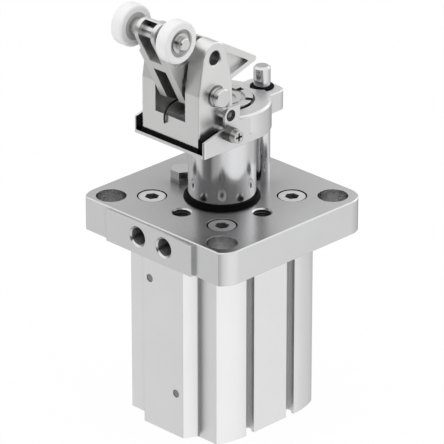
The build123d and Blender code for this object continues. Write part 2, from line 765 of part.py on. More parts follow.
# Head plate: disc, front tray with side walls and ears, rear lug
ear_front = (ear_y - ear_radius, top + wall_rear_rise)
ear_top = top + ear_rise + ear_radius
with BuildPart() as head_plate:
    with BuildSketch(Plane.XY.offset(plate_z)):
        Circle(plate_radius)
        with Locations((0, pad_rear_y - plate_radius)):
            Rectangle(2 * plate_radius, 2 * plate_radius, mode=Mode.SUBTRACT)
    extrude(amount=plate_top - plate_z)
    disc_rim = head_plate.faces().sort_by(Axis.Z)[-1].edges().filter_by(GeomType.CIRCLE)
    chamfer(disc_rim, plate_edge_chamfer)
    with BuildSketch(Plane.XY.offset(plate_z)):
        with Locations((0, tray_front_y / 2)):
            Rectangle(2 * plate_radius, -tray_front_y)
    extrude(amount=pad_z - plate_z)
    for side in (-1, 1):
        with BuildSketch(Plane.YZ.offset(side * wall_inner_x)):
            Polygon(
                (tray_front_y, plate_z),
                (tray_front_y, top + wall_front_rise),
                ear_front,
                (ear_y - ear_radius, top + ear_rise),
                (ear_y, top + ear_rise),
                (ear_y, ear_top),
                (pad_rear_y, ear_top),
                (pad_rear_y, plate_top - wall_step),
                (wall_rear_y, plate_top - plate_edge_chamfer),
                (wall_rear_y, plate_z),
                align=None,
            )
            with Locations((ear_y, top + ear_rise)):
                Circle(ear_radius)
        extrude(amount=side * (plate_radius - wall_inner_x))
    with BuildSketch(Plane.XY.offset(top + lug_bottom_rise)):
        with Locations((0, lug_rear_y / 2)):
            Rectangle(2 * lug_half_width, lug_rear_y)
        rear_corners = []
        for corner in vertices():
            if corner.Y > lug_rear_y - pick_tolerance:
                rear_corners.append(corner)
        fillet(rear_corners, lug_corner_radius)
    extrude(amount=lug_top_rise - lug_bottom_rise)
    lug_rim = head_plate.edges().filter_by_position(Axis.Z, top + lug_top_rise, top + lug_top_rise)
    chamfer(lug_rim.filter_by(lambda edge: edge.center().Y > nut_counterbore_radius), lug_edge_chamfer)
    front_edges = head_plate.edges().filter_by(Axis.Z).filter_by_position(Axis.Y, tray_front_y, tray_front_y)
    outer_corners = front_edges.filter_by(lambda edge: abs(edge.center().X) > plate_radius - pick_tolerance)
    fillet(outer_corners, tray_corner_radius)
    with BuildSketch(Plane.XY.offset(top + tray_floor_rise)):
        with Locations((0, (tray_front_y + pad_front_y) / 2)):
            Rectangle(2 * wall_inner_x, pad_front_y - tray_front_y)
        for side in (-1, 1):
            with Locations((side * (fork_half_width + wall_inner_x) / 2, (tray_front_y + pad_rear_y) / 2)):
                Rectangle(wall_inner_x - fork_half_width, pad_rear_y - tray_front_y)
    extrude(amount=pad_rise - tray_floor_rise, mode=Mode.SUBTRACT)
    with BuildSketch(Plane.XY.offset(plate_z)):
        Circle(rod_spigot_radius)
    extrude(amount=head_top - plate_z, mode=Mode.SUBTRACT)
    with BuildSketch(Plane.XY.offset(top + nut_counterbore_rise)):
        Circle(nut_counterbore_radius)
    extrude(amount=head_top - top - nut_counterbore_rise, mode=Mode.SUBTRACT)
    with BuildSketch(Plane.XY.offset(plate_z)):
        with Locations((0, guide_circle_radius)):
            Circle(guide_bush_radius)
    extrude(amount=head_top - plate_z, mode=Mode.SUBTRACT)
    with BuildSketch(Plane.XY.offset(top + lug_top_rise)):
        with Locations((0, guide_circle_radius)):
            Circle(guide_recess_radius)
    extrude(amount=plate_top_rise - lug_bottom_rise, mode=Mode.SUBTRACT)
    with BuildSketch(Plane.YZ.offset(-plate_radius - cut_margin)):
        with Locations((ear_y, top + ear_rise)):
            Circle(ear_screw_radius)
        with Locations((side_screw_y, top + side_screw_rise)):
            Circle(side_screw_radius)
    extrude(amount=2 * (plate_radius + cut_margin), mode=Mode.SUBTRACT)
    with BuildSketch(Plane.XY.offset(plate_z)):
        with Locations((-fork_screw_x, fork_screw_y), (fork_screw_x, fork_screw_y)):
            Circle(fork_screw_radius)
    extrude(amount=pad_z - plate_z, mode=Mode.SUBTRACT)
    with BuildSketch(Plane.XY.offset(plate_z)):
        with Locations((-fork_screw_x, fork_screw_y), (fork_screw_x, fork_screw_y)):
            Circle(fork_screw_head_radius)
    extrude(
        amount=fork_screw_head_height,
        taper=degrees(atan2(fork_screw_head_radius - fork_screw_radius, fork_screw_head_height)),
        mode=Mode.SUBTRACT,
    )
head_plate.part.label = "head_plate"
export_step(head_plate.part, "parts/head_plate.step")

# Slotted ring nut on the rod's spigot
with BuildPart() as ring_nut:
    with BuildSketch(Plane.XY.offset(top + nut_counterbore_rise)):
        Circle(ring_nut_radius)
        Circle(rod_spigot_radius, mode=Mode.SUBTRACT)
    extrude(amount=ring_nut_top_rise - nut_counterbore_rise)
    with BuildSketch(Plane.XY.offset(top + ring_nut_top_rise)):
        with PolarLocations(ring_nut_radius, ring_nut_slots, start_angle=30):
            Rectangle(ring_nut_slot_length, ring_nut_slot_width)
    extrude(amount=-ring_nut_slot_depth, mode=Mode.SUBTRACT)
ring_nut.part.label = "ring_nut"
export_step(ring_nut.part, "parts/ring_nut.step")

# Bush for the guide rod
with BuildPart() as guide_bush:
    with BuildSketch(Plane.XY.offset(top + lug_bottom_rise)):
        with Locations((0, guide_circle_radius)):
            Circle(guide_bush_radius)
            Circle(guide_rod_radius + guide_bush_clearance, mode=Mode.SUBTRACT)
    extrude(amount=lug_top_rise - lug_bottom_rise + guide_bush_rise)
guide_bush.part.label = "guide_bush"
export_step(guide_bush.part, "parts/guide_bush.step")

# Fork with two ears, a window in front and an open back
fork_ear_centre = (fork_ear_y, top + fork_ear_rise)
fork_shoulder = (fork_front_y, top + fork_shoulder_rise)
fork_back_top = (fork_back_high[0], fork_ear_centre[1] + fork_back_high[1])
fork_back_bend = (fork_back_mid[0], fork_ear_centre[1] + fork_back_mid[1])
fork_tangent_front = tangent_point(fork_shoulder, fork_ear_centre, fork_ear_radius, -1)
fork_tangent_back = tangent_point(fork_back_top, fork_ear_centre, fork_ear_radius, 1)
with BuildPart() as fork:
    with BuildSketch(Plane.YZ):
        Polygon(
            (fork_front_y, pad_z),
            fork_shoulder,
            fork_tangent_front,
            fork_ear_centre,
            fork_tangent_back,
            fork_back_top,
            fork_back_bend,
            (fork_rear_y, top + fork_rear_rise),
            (fork_rear_y, pad_z),
            align=None,
        )
        with Locations(fork_ear_centre):
            Circle(fork_ear_radius)
    extrude(amount=fork_half_width, both=True)
    with BuildSketch(Plane.XY.offset(top + fork_slab_rise)):
        with Locations((0, fork_front_y + fork_wall_thickness + fork_slot_length / 2)):
            Rectangle(2 * fork_slot_half_width, fork_slot_length)
    extrude(amount=fork_cut_reach, mode=Mode.SUBTRACT)
    with BuildSketch(Plane.XY.offset(top + fork_window_rise)):
        with Locations((0, fork_front_y)):
            Rectangle(2 * fork_slot_half_width, 4 * fork_wall_thickness)
    extrude(amount=fork_cut_reach, mode=Mode.SUBTRACT)
    with BuildSketch(Plane.YZ):
        with Locations(fork_ear_centre):
            Circle(fork_ear_hole_radius)
        with Locations((pivot_y, pivot_z)):
            Circle(pivot_radius)
    extrude(amount=fork_half_width, both=True, mode=Mode.SUBTRACT)
    for side in (-1, 1):
        outer_face = fork.faces().filter_by(Axis.X).sort_by(Axis.X)[-1 if side > 0 else 0]
        rim = outer_face.outer_wire().edges().filter_by(lambda edge: edge.center().Z > pad_z + pick_tolerance)
        ear_hole = outer_face.inner_wires().sort_by(Axis.Z)[-1].edges()
        chamfer(rim + ear_hole, fork_edge_chamfer)
    for side in (-1, 1):
        with BuildSketch(Plane.YZ.offset(side * fork_half_width)):
            with Locations((pivot_y, pivot_z)):
                Circle(pivot_recess_radius)
        extrude(amount=-side * pivot_recess_depth, mode=Mode.SUBTRACT)
        with BuildSketch(Plane.YZ.offset(side * ear_screw_tip_x)):
            with Locations((ear_y, top + ear_rise)):
                Circle(ear_screw_tip_radius)
        extrude(amount=side * (fork_half_width - ear_screw_tip_x + cut_margin), mode=Mode.SUBTRACT)
        with BuildSketch(Plane.YZ.offset(side * side_screw_tip_x)):
            with Locations((side_screw_y, top + side_screw_rise)):
                Circle(side_screw_radius)
        extrude(amount=side * (fork_half_width - side_screw_tip_x + cut_margin), mode=Mode.SUBTRACT)
    with BuildSketch(Plane.XY.offset(pad_z)):
        with Locations((-fork_screw_x, fork_screw_y), (fork_screw_x, fork_screw_y)):
            Circle(fork_screw_radius)
    extrude(amount=top + fork_screw_rise - pad_z, mode=Mode.SUBTRACT)
fork.part.label = "fork"
export_step(fork.part, "parts/fork.step")

# Rubber liner in front of the pad and beside the fork
with BuildPart() as fork_liner:
    with BuildSketch(Plane.XY.offset(top + tray_floor_rise)):
        with Locations((0, (liner_front_y + pad_front_y) / 2)):
            Rectangle(2 * wall_inner_x, pad_front_y - liner_front_y)
    extrude(amount=pad_rise - tray_floor_rise)
    for side in (-1, 1):
        with BuildSketch(Plane.XY.offset(top + tray_floor_rise)):
            with Locations((side * (fork_half_width + wall_inner_x) / 2, (liner_front_y + pad_rear_y) / 2)):
                Rectangle(wall_inner_x - fork_half_width, pad_rear_y - liner_front_y)
        extrude(amount=liner_side_rise - tray_floor_rise)
    with BuildSketch(Plane.YZ):
        with Locations((side_screw_y, top + side_screw_rise)):
            Circle(side_screw_radius)
    extrude(amount=plate_radius, both=True, mode=Mode.SUBTRACT)
fork_liner.part.label = "fork_liner"
export_step(fork_liner.part, "parts/fork_liner.step")

# Countersunk screws from below that hold the fork on its pad
with BuildPart() as fork_screws:
    for side in (-1, 1):
        with BuildSketch(Plane.XY.offset(plate_z)):
            with Locations((side * fork_screw_x, fork_screw_y)):
                Circle(fork_screw_head_radius)
        extrude(
            amount=fork_screw_head_height,
            taper=degrees(atan2(fork_screw_head_radius - fork_screw_radius, fork_screw_head_height)),
        )
        with BuildSketch(Plane.XY.offset(plate_z)):
            with Locations((side * fork_screw_x, fork_screw_y)):
                Circle(fork_screw_radius)
        extrude(amount=top + fork_screw_rise - plate_z)
        with BuildSketch(Plane.XY.offset(plate_z)):
            with Locations((side * fork_screw_x, fork_screw_y)):
                RegularPolygon(fork_screw_socket_width / sqrt(3), 6)
        extrude(amount=fork_screw_socket_depth, mode=Mode.SUBTRACT)
fork_screws.part.label = "fork_screws"
export_step(fork_screws.part, "parts/fork_screws.step")

# Set screws through the ears and cross-recess screws through the walls
with BuildPart() as ear_screws:
    for side in (-1, 1):
        with BuildSketch(Plane.YZ.offset(side * ear_screw_tip_x)):
            with Locations((ear_y, top + ear_rise)):
                Circle(ear_screw_tip_radius)
        extrude(amount=side * (fork_half_width - ear_screw_tip_x))
        with BuildSketch(Plane.YZ.offset(side * fork_half_width)):
            with Locations((ear_y, top + ear_rise)):
                Circle(ear_screw_radius)
        extrude(amount=side * (ear_screw_end_x - fork_half_width))
        with BuildSketch(Plane.YZ.offset(side * ear_screw_end_x)):
            with Locations((ear_y, top + ear_rise)):
                RegularPolygon(ear_screw_socket_width / sqrt(3), 6)
        extrude(amount=-side * ear_screw_socket_depth, mode=Mode.SUBTRACT)
ear_screws.part.label = "ear_screws"
export_step(ear_screws.part, "parts/ear_screws.step")

with BuildPart() as side_screws:
    for side in (-1, 1):
        with BuildSketch(Plane.YZ.offset(side * side_screw_tip_x)):
            with Locations((side_screw_y, top + side_screw_rise)):
                Circle(side_screw_radius)
        extrude(amount=side * (side_screw_neck_x - side_screw_tip_x))
        with BuildSketch(Plane.YZ.offset(side * side_screw_neck_x)):
            with Locations((side_screw_y, top + side_screw_rise)):
                Circle(side_screw_head_radius)
        extrude(amount=side * (side_screw_head_x - side_screw_neck_x))
        with BuildSketch(Plane.YZ.offset(side * side_screw_head_x)):
            with Locations((side_screw_y, top + side_screw_rise)):
                Rectangle(side_screw_cross_length, side_screw_cross_width)
                Rectangle(side_screw_cross_width, side_screw_cross_length)
        extrude(amount=-side * side_screw_cross_depth, mode=Mode.SUBTRACT)
side_screws.part.label = "side_screws"
export_step(side_screws.part, "parts/side_screws.step")

# Pivot pin with its retaining rings and washers
with BuildPart() as pivot_pin:
    with BuildSketch(Plane.YZ):
        with Locations((pivot_y, pivot_z)):
            Circle(pivot_radius)
    extrude(amount=pivot_end_x, both=True)
    chamfer(pivot_pin.faces().filter_by(Axis.X).edges(), pivot_end_chamfer)
    for side in (-1, 1):
        with BuildSketch(Plane.YZ.offset(side * (fork_half_width - pivot_recess_depth))):
            with Locations((pivot_y, pivot_z)):
                Circle(pivot_radius + cut_margin)
                Circle(pivot_groove_radius, mode=Mode.SUBTRACT)
        extrude(amount=side * pivot_clip_thickness, mode=Mode.SUBTRACT)
        with BuildSketch(Plane.YZ.offset(side * pivot_end_groove_x)):
            with Locations((pivot_y, pivot_z)):
                Circle(pivot_radius + cut_margin)
                Circle(pivot_end_groove_radius, mode=Mode.SUBTRACT)
        extrude(amount=side * pivot_end_groove_width, mode=Mode.SUBTRACT)
pivot_pin.part.label = "pivot_pin"
export_step(pivot_pin.part, "parts/pivot_pin.step")

with BuildPart() as pivot_clips:
    for side in (-1, 1):
        with BuildSketch(Plane.YZ.offset(side * (fork_half_width - pivot_recess_depth))):
            with Locations((pivot_y, pivot_z)):
                Circle(pivot_clip_radius)
                Circle(pivot_groove_radius, mode=Mode.SUBTRACT)
            with Locations((pivot_y, pivot_z - pivot_clip_radius)):
                Rectangle(pivot_clip_gap, pivot_clip_radius, mode=Mode.SUBTRACT)
        extrude(amount=side * pivot_clip_thickness)
pivot_clips.part.label = "pivot_clips"
export_step(pivot_clips.part, "parts/pivot_clips.step")

with BuildPart() as pivot_washers:
    for side in (-1, 1):
        with BuildSketch(Plane.YZ.offset(side * (lever_half_width + washer_clearance))):
            with Locations((pivot_y, pivot_z)):
                Circle(washer_radius)
                Circle(pivot_radius, mode=Mode.SUBTRACT)
        extrude(amount=side * (fork_slot_half_width - lever_half_width - washer_clearance))
pivot_washers.part.label = "pivot_washers"
export_step(pivot_washers.part, "parts/pivot_washers.step")

# Lever: two pocketed cheeks, a web along the back, a crossbar and a nose over the plunger
hub_centre = lever_hub
hub_tangent_back = tangent_point(lever_apex, hub_centre, lever_hub_radius, -1)
hub_tangent_front = tangent_point(lever_front_mid, hub_centre, lever_hub_radius, 1)
boss_tangent = tangent_point(lever_front_low, (0, 0), lever_boss_radius, -1)
back_run = (hub_tangent_back[0] - lever_apex[0], hub_tangent_back[1] - lever_apex[1])
back_length = hypot(back_run[0], back_run[1])
back_normal = (back_run[1] / back_length, -back_run[0] / back_length)
back_slope = back_run[1] / back_run[0]
apex_p = (lever_apex[1] - lever_bottom_q - back_slope * lever_apex[0]) / (lever_bottom_slope - back_slope)
lever_corner = (apex_p, lever_bottom_q + lever_bottom_slope * apex_p)
nose_turn = radians(lever_lean)
nose_p = -(nose_y - pivot_y) * cos(nose_turn) - (nose_z - pivot_z) * sin(nose_turn)
nose_q = -(nose_y - pivot_y) * sin(nose_turn) + (nose_z - pivot_z) * cos(nose_turn)


def back_offset(q, inset):
    """A point at height q on the lever's back line, moved inwards by the inset."""
    share = (q - lever_apex[1]) / back_run[1]
    along = lever_apex[0] + share * back_run[0]
    return (along + inset / back_normal[0], q)


with BuildPart() as lever:
    with BuildSketch(lever_plane):
        Polygon(
            hub_tangent_back,
            hub_centre,
            hub_tangent_front,
            lever_front_mid,
            lever_front_low,
            boss_tangent,
            (0, 0),
            (0, lever_bottom_q),
            lever_corner,
            align=None,
        )
        with Locations(hub_centre):
            Circle(lever_hub_radius)
        Circle(lever_boss_radius)
        fillet(vertices().sort_by(Axis.X)[0], lever_apex_radius)
    extrude(amount=lever_half_width, both=True)
    with BuildSketch(lever_plane):
        Polygon(
            (-lever_cut_reach, lever_cut_low),
            (lever_cut_reach, lever_cut_low),
            (lever_cut_reach, lever_crossbar_low_q),
            (lever_front_mid[0] - lever_crossbar_depth, lever_crossbar_low_q),
            (lever_front_mid[0] - lever_crossbar_depth, lever_crossbar_high_q),
            (lever_cut_reach, lever_crossbar_high_q),
            (lever_cut_reach, lever_cut_reach),
            (lever_hub[0] + axle_radius, lever_cut_reach),
            (lever_hub[0] - lever_hub_radius + lever_web, lever_hub[1] + lever_web_bend_high),
            back_offset(lever_hub[1] - lever_web_bend_low, lever_web),
            back_offset(lever_apex[1], lever_web),
            (lever_apex[0] + lever_web, lever_cut_low),
            align=None,
        )
    extrude(amount=lever_window_half_width, both=True, mode=Mode.SUBTRACT)
    with BuildSketch(lever_plane):
        with Locations((nose_p, nose_q)):
            Circle(nose_radius)
    extrude(amount=lever_window_half_width, both=True)
    for side in (-1, 1):
        with BuildSketch(lever_plane.offset(side * (lever_half_width - lever_pocket_depth))):
            Polygon(
                back_offset(lever_pocket_back_q[0], lever_rim),
                back_offset(lever_pocket_back_q[1], lever_rim),
                *lever_pocket_bottom,
                *lever_pocket_front,
                align=None,
            )
            Circle(lever_pocket_boss_radius, mode=Mode.SUBTRACT)
        extrude(amount=side * 2 * lever_pocket_depth, mode=Mode.SUBTRACT)
        with BuildSketch(lever_plane.offset(side * (lever_half_width - lever_pocket_depth))):
            Polygon(
                back_offset(lever_upper_pocket_back_q[0], lever_rim),
                back_offset(lever_upper_pocket_back_q[1], lever_rim),
                *lever_upper_pocket_front,
                align=None,
            )
        extrude(amount=side * 2 * lever_pocket_depth, mode=Mode.SUBTRACT)
    with BuildSketch(lever_plane):
        with Locations(hub_centre):
            Circle(axle_radius)
        Circle(lever_bush_radius)
    extrude(amount=lever_half_width, both=True, mode=Mode.SUBTRACT)
    taper_plane = Plane(origin=(0, pivot_y, pivot_z), x_dir=(1, 0, 0), z_dir=lever_plane.x_dir)
    for side in (-1, 1):
        with BuildSketch(taper_plane):
            Polygon(
                (side * lever_hub_half_width, lever_taper_end_q),
                (side * (lever_half_width + cut_margin), lever_taper_start_q),
                (side * (lever_half_width + cut_margin), lever_cut_reach),
                (side * lever_hub_half_width, lever_cut_reach),
                align=None,
            )
        extrude(amount=lever_cut_reach, both=True, mode=Mode.SUBTRACT)
lever.part.label = "lever"
export_step(lever.part, "parts/lever.step")

with BuildPart() as lever_bushes:
    for side in (-1, 1):
        with BuildSketch(Plane.YZ.offset(side * lever_window_half_width)):
            with Locations((pivot_y, pivot_z)):
                Circle(lever_bush_radius)
                Circle(pivot_radius + pivot_running_clearance, mode=Mode.SUBTRACT)
        extrude(amount=side * (lever_half_width - lever_window_half_width))
lever_bushes.part.label = "lever_bushes"
export_step(lever_bushes.part, "parts/lever_bushes.step")

# Axle with spacers and clips
clip_x = roller_hub_x + roller_side_clearance
with BuildPart() as roller_axle:
    with BuildSketch(Plane.YZ):
        with Locations((axle_y, axle_z)):
            Circle(axle_radius)
    extrude(amount=axle_end_x, both=True)
    chamfer(roller_axle.faces().filter_by(Axis.X).edges(), axle_end_chamfer)
    for side in (-1, 1):
        with BuildSketch(Plane.YZ.offset(side * clip_x)):
            with Locations((axle_y, axle_z)):
                Circle(axle_radius + cut_margin)
                Circle(axle_groove_radius, mode=Mode.SUBTRACT)
        extrude(amount=side * axle_clip_thickness, mode=Mode.SUBTRACT)
roller_axle.part.label = "roller_axle"
export_step(roller_axle.part, "parts/roller_axle.step")

with BuildPart() as axle_spacers:
    for side in (-1, 1):
        with BuildSketch(Plane.YZ.offset(side * lever_hub_half_width)):
            with Locations((axle_y, axle_z)):
                Circle(spacer_radius)
                Circle(axle_radius, mode=Mode.SUBTRACT)
        extrude(amount=side * (roller_inner_x - roller_side_clearance - lever_hub_half_width))
axle_spacers.part.label = "axle_spacers"
export_step(axle_spacers.part, "parts/axle_spacers.step")

with BuildPart() as axle_clips:
    for side in (-1, 1):
        with BuildSketch(Plane.YZ.offset(side * clip_x)):
            with Locations((axle_y, axle_z)):
                Circle(axle_clip_radius)
                Circle(axle_groove_radius, mode=Mode.SUBTRACT)
            with Locations((axle_y, axle_z - axle_clip_radius)):
                Rectangle(axle_clip_gap, axle_clip_radius, mode=Mode.SUBTRACT)
        extrude(amount=side * axle_clip_thickness)
axle_clips.part.label = "axle_clips"
export_step(axle_clips.part, "parts/axle_clips.step")


def roller(label, side):
    """A plastic roller with rounded edges and a recessed hub."""
    with BuildPart() as piece:
        with BuildSketch(Plane.YZ.offset(side * roller_inner_x)):
            with Locations((axle_y, axle_z)):
                Circle(roller_radius)
        extrude(amount=side * (roller_outer_x - roller_inner_x))
        fillet(piece.edges(), roller_edge_radius)
        with BuildSketch(Plane.YZ.offset(side * roller_inner_x)):
            with Locations((axle_y, axle_z)):
                Circle(roller_hub_radius)
        extrude(amount=side * (roller_outer_x - roller_inner_x), mode=Mode.SUBTRACT)
    piece.part.label = label
    return piece.part


def roller_bush(label, side):
    """The bearing inside a roller."""
    with BuildPart() as piece:
        with BuildSketch(Plane.YZ.offset(side * roller_inner_x)):
            with Locations((axle_y, axle_z)):
                Circle(roller_hub_radius)
                Circle(axle_radius + roller_running_clearance, mode=Mode.SUBTRACT)
        extrude(amount=side * (roller_hub_x - roller_inner_x))
    piece.part.label = label
    return piece.part


roller_left = roller("roller_left", -1)
export_step(roller_left, "parts/roller_left.step")
roller_right = roller("roller_right", 1)
export_step(roller_right, "parts/roller_right.step")
roller_bush_left = roller_bush("roller_bush_left", -1)
export_step(roller_bush_left, "parts/roller_bush_left.step")
roller_bush_right = roller_bush("roller_bush_right", 1)
export_step(roller_bush_right, "parts/roller_bush_right.step")

# Shock absorber inside the rod
shock_bottom = top + shock_bottom_rise
with BuildPart() as shock_tube:
    with BuildSketch(Plane.XY.offset(shock_bottom)):
        Circle(shock_radius)
    extrude(amount=shock_top_rise - shock_bottom_rise)
    with BuildSketch(Plane.XY.offset(shock_bottom + shock_floor)):
        Circle(shock_bore_radius)
    extrude(amount=shock_top_rise - shock_bottom_rise, mode=Mode.SUBTRACT)
shock_tube.part.label = "shock_tube"
export_step(shock_tube.part, "parts/shock_tube.step")

shock_bearing = ring(
    "shock_bearing",
    shock_bore_radius,
    plunger_radius + plunger_clearance,
    top + shock_bearing_bottom_rise,
    shock_bearing_top_rise - shock_bearing_bottom_rise,
)
export_step(shock_bearing, "parts/shock_bearing.step")

plunger_head_bottom = top + plunger_head_bottom_rise
with BuildPart() as shock_plunger:
    with BuildSketch(Plane.XY.offset(plunger_head_bottom)):
        Circle(plunger_head_radius)
    extrude(amount=plunger_head_height)
    with BuildSketch(Plane.XY.offset(plunger_head_bottom)):
        Circle(plunger_radius)
    extrude(amount=plunger_top - plunger_head_bottom)
    with BuildSketch(Plane.XY.offset(plunger_top)):
        Circle(plunger_cap_radius)
    extrude(amount=-plunger_cap_height)
shock_plunger.part.label = "shock_plunger"
export_step(shock_plunger.part, "parts/shock_plunger.step")

spring_floor = shock_bottom + shock_floor
spring_height = plunger_head_bottom - spring_floor
with BuildPart() as shock_spring:
    with BuildLine():
        coil = Helix(
            pitch=(spring_height - shock_spring_wire) / shock_spring_turns,
            height=spring_height - shock_spring_wire,
            radius=shock_spring_radius,
            center=(0, 0, spring_floor + shock_spring_wire / 2),
        )
    with BuildSketch(Plane(origin=coil @ 0, z_dir=coil % 0)):
        RegularPolygon(shock_spring_wire / 2, 6)
    sweep(path=coil, is_frenet=True)
shock_spring.part.label = "shock_spring"
export_step(shock_spring.part, "parts/shock_spring.step")

# Return spring: coil round the pivot, one leg on the fork's front wall, one on the lever
seat_gap = spring_wire_radius + spring_seat_gap
bar_corner = (lever_front_mid[0] - lever_crossbar_depth, lever_crossbar_low_q)
leg_tilt = acos((seat_gap - spring_coil_radius) / hypot(*bar_corner)) - atan2(bar_corner[1], bar_corner[0])
coil_turns = spring_turns + (90 + lever_lean + degrees(leg_tilt)) / 360
leg_start = lever_point(-spring_coil_radius * cos(leg_tilt), spring_coil_radius * sin(leg_tilt))
leg_bend = lever_point(bar_corner[0] - seat_gap, bar_corner[1])
leg_end = lever_point(bar_corner[0] - seat_gap, spring_leg_q)
hook_y = fork_front_y - seat_gap
coil_path = (
    Pos(-spring_half_width, pivot_y, pivot_z)
    * Rot(180, 0, 0)
    * Helix(
        pitch=2 * spring_half_width / coil_turns,
        height=2 * spring_half_width,
        radius=spring_coil_radius,
        direction=(1, 0, 0),
    )
)
with BuildPart() as return_spring:
    with BuildLine() as coil_line:
        add(coil_path)
    with BuildSketch(Plane(origin=coil_path @ 0, z_dir=coil_path % 0)):
        Circle(spring_wire_radius)
    sweep(path=coil_line.line, is_frenet=True)
    with BuildLine() as hook_line:
        FilletPolyline(
            (-spring_half_width, pivot_y, pivot_z - spring_coil_radius),
            (-spring_half_width, hook_y, pivot_z - spring_coil_radius),
            (-spring_half_width, hook_y, top + spring_hook_low_rise),
            radius=spring_bend_radius,
        )
    with BuildSketch(Plane(origin=hook_line.line @ 0, z_dir=hook_line.line % 0)):
        Circle(spring_wire_radius)
    sweep(path=hook_line.line)
    with BuildLine() as leg_line:
        FilletPolyline(
            (spring_half_width, leg_start[0], leg_start[1]),
            (spring_half_width, leg_bend[0], leg_bend[1]),
            (spring_half_width, leg_end[0], leg_end[1]),
            radius=spring_bend_radius,
        )
    with BuildSketch(Plane(origin=leg_line.line @ 0, z_dir=leg_line.line % 0)):
        Circle(spring_wire_radius)
    sweep(path=leg_line.line)
return_spring.part.label = "return_spring"
export_step(return_spring.part, "parts/return_spring.step")
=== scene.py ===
"""Looks of a pneumatic pallet stopper: finishes, liner, springs, screw threads and a studio round the model."""

import math

import bpy
import numpy as np
from bpy.props import FloatProperty, FloatVectorProperty, PointerProperty
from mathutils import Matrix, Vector


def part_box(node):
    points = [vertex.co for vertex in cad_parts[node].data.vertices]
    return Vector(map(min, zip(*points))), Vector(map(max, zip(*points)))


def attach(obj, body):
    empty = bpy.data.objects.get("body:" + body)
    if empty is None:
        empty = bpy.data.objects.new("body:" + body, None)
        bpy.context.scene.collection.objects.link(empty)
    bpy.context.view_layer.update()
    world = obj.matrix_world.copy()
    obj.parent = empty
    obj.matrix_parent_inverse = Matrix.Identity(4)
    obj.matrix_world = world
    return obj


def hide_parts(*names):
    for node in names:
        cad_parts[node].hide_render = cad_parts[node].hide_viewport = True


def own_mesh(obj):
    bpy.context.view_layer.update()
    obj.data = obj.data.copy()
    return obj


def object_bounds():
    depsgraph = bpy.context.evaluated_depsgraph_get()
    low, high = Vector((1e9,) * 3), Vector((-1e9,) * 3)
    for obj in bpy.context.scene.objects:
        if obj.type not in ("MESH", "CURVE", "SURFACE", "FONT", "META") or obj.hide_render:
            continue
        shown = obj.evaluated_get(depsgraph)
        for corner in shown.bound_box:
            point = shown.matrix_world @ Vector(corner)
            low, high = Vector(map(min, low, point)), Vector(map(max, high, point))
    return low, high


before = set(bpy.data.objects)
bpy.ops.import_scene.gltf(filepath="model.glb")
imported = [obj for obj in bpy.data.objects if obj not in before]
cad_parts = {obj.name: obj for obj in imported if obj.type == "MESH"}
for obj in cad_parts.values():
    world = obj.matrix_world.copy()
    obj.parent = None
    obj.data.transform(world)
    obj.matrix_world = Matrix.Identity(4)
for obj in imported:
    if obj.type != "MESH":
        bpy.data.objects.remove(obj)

bl_info = {
    "name": "Pallet stopper looks",
    "version": (1, 0, 0),
    "blender": (4, 5, 0),
    "location": "3D View > Sidebar > Stopper",
    "description": "Finishes, liner, springs, screw threads and studio for a pneumatic pallet stopper",
    "category": "Object",
}

CAD_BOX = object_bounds()
MM = 0.001

# Finishes: depths and reaches in metres, Cycles samples, and colours of painted shade in corners, black ends and
# painted highlights on edges. TOP_MARGIN is how far below the flange's top its painted shade starts, SCREW_END where
# in mm along X a screw turns black.
GRAIN_DEPTH = 0.00003
PEBBLE_DEPTH = 0.00004
SCATTER_REACH = (0.004, 0.004, 0.004)
SHADE_REACH = 110 * MM
SHADE_SAMPLES = 8
RIM_SAMPLES = 4
RIM_GAIN = 12.0
SHADOW = (0.01, 0.01, 0.01, 1.0)
BLACKENED = (0.05, 0.05, 0.05, 1.0)
HIGHLIGHT = (0.95, 0.95, 0.95, 1.0)
PLATE_LIGHTER = 1.04
TOP_MARGIN = 0.2 * MM
SCREW_END = 21.9

# Liner in mm: stations of y, bottom and top, then its inner face and the outer faces of the sides and of the rest
LINER_FRONT = ((-34.0, 54.0, 56.2), (-30.3, 54.0, 56.2))
LINER_POST = ((-34.0, 54.0, 60.8), (-33.4, 54.0, 60.8))
LINER_SIDE = ((-33.4, 54.0, 59.3), (-21.1, 54.0, 62.2), (-11.3, 54.0, 62.2))
LINER_INNER = 18.6
LINER_SKIRT = 19.4
LINER_OUTER = 21.7

# Return spring in mm, hook and leg as y and z; the last SPRING_GLIDE steps of the coil turn with the leg
SPRING_PIVOT = (-22.5, 79.3)
SPRING_RADIUS = 7.3
SPRING_WIRE = 0.5
SPRING_HALF_WIDTH = 2.9
SPRING_TURNS = 4 + 149.86 / 360
SPRING_POINTS = 240
SPRING_GLIDE = 6
SPRING_HOOK = ((-22.5, 72.0), (-30.5, 72.4), (-35.4, 70.5), (-34.0, 62.9))
SPRING_LEG = ((-18.84, 85.61), (-26.9, 90.3), (-33.6, 93.6), (-37.15, 97.97))

# Shock absorber spring in mm
SHOCK_SPRING_HEIGHTS = (8.5, 33.4)
SHOCK_SPRING_RADIUS = 5.0
SHOCK_SPRING_WIRE = 0.7
SHOCK_SPRING_TURNS = 7

# Threads in metres: radius of the wall, height of the ridge, length and places
SIDE_SCREW_RADIUS = 3.3 * MM
SIDE_SCREW_RIDGE = 0.28 * MM
SIDE_SCREW_LENGTH = 4.0 * MM
SIDE_SCREW_START = 23.1 * MM
PORT_RADIUS = 4.35 * MM
PORT_RIDGE = 0.35 * MM
PORT_LENGTH = 8.0 * MM
PORTS = ((-7.2 * MM, -47.0 * MM, 8.7 * MM), (10.0 * MM, -47.0 * MM, 8.7 * MM))
SPARE_RADIUS = 4.25 * MM
SPARE_RIDGE = 0.45 * MM
SPARE_LENGTH = 9.0 * MM
SPARE_HOLES = ((0.0, -26.3 * MM, 15.8 * MM), (26.3 * MM, 0.0, 15.8 * MM))

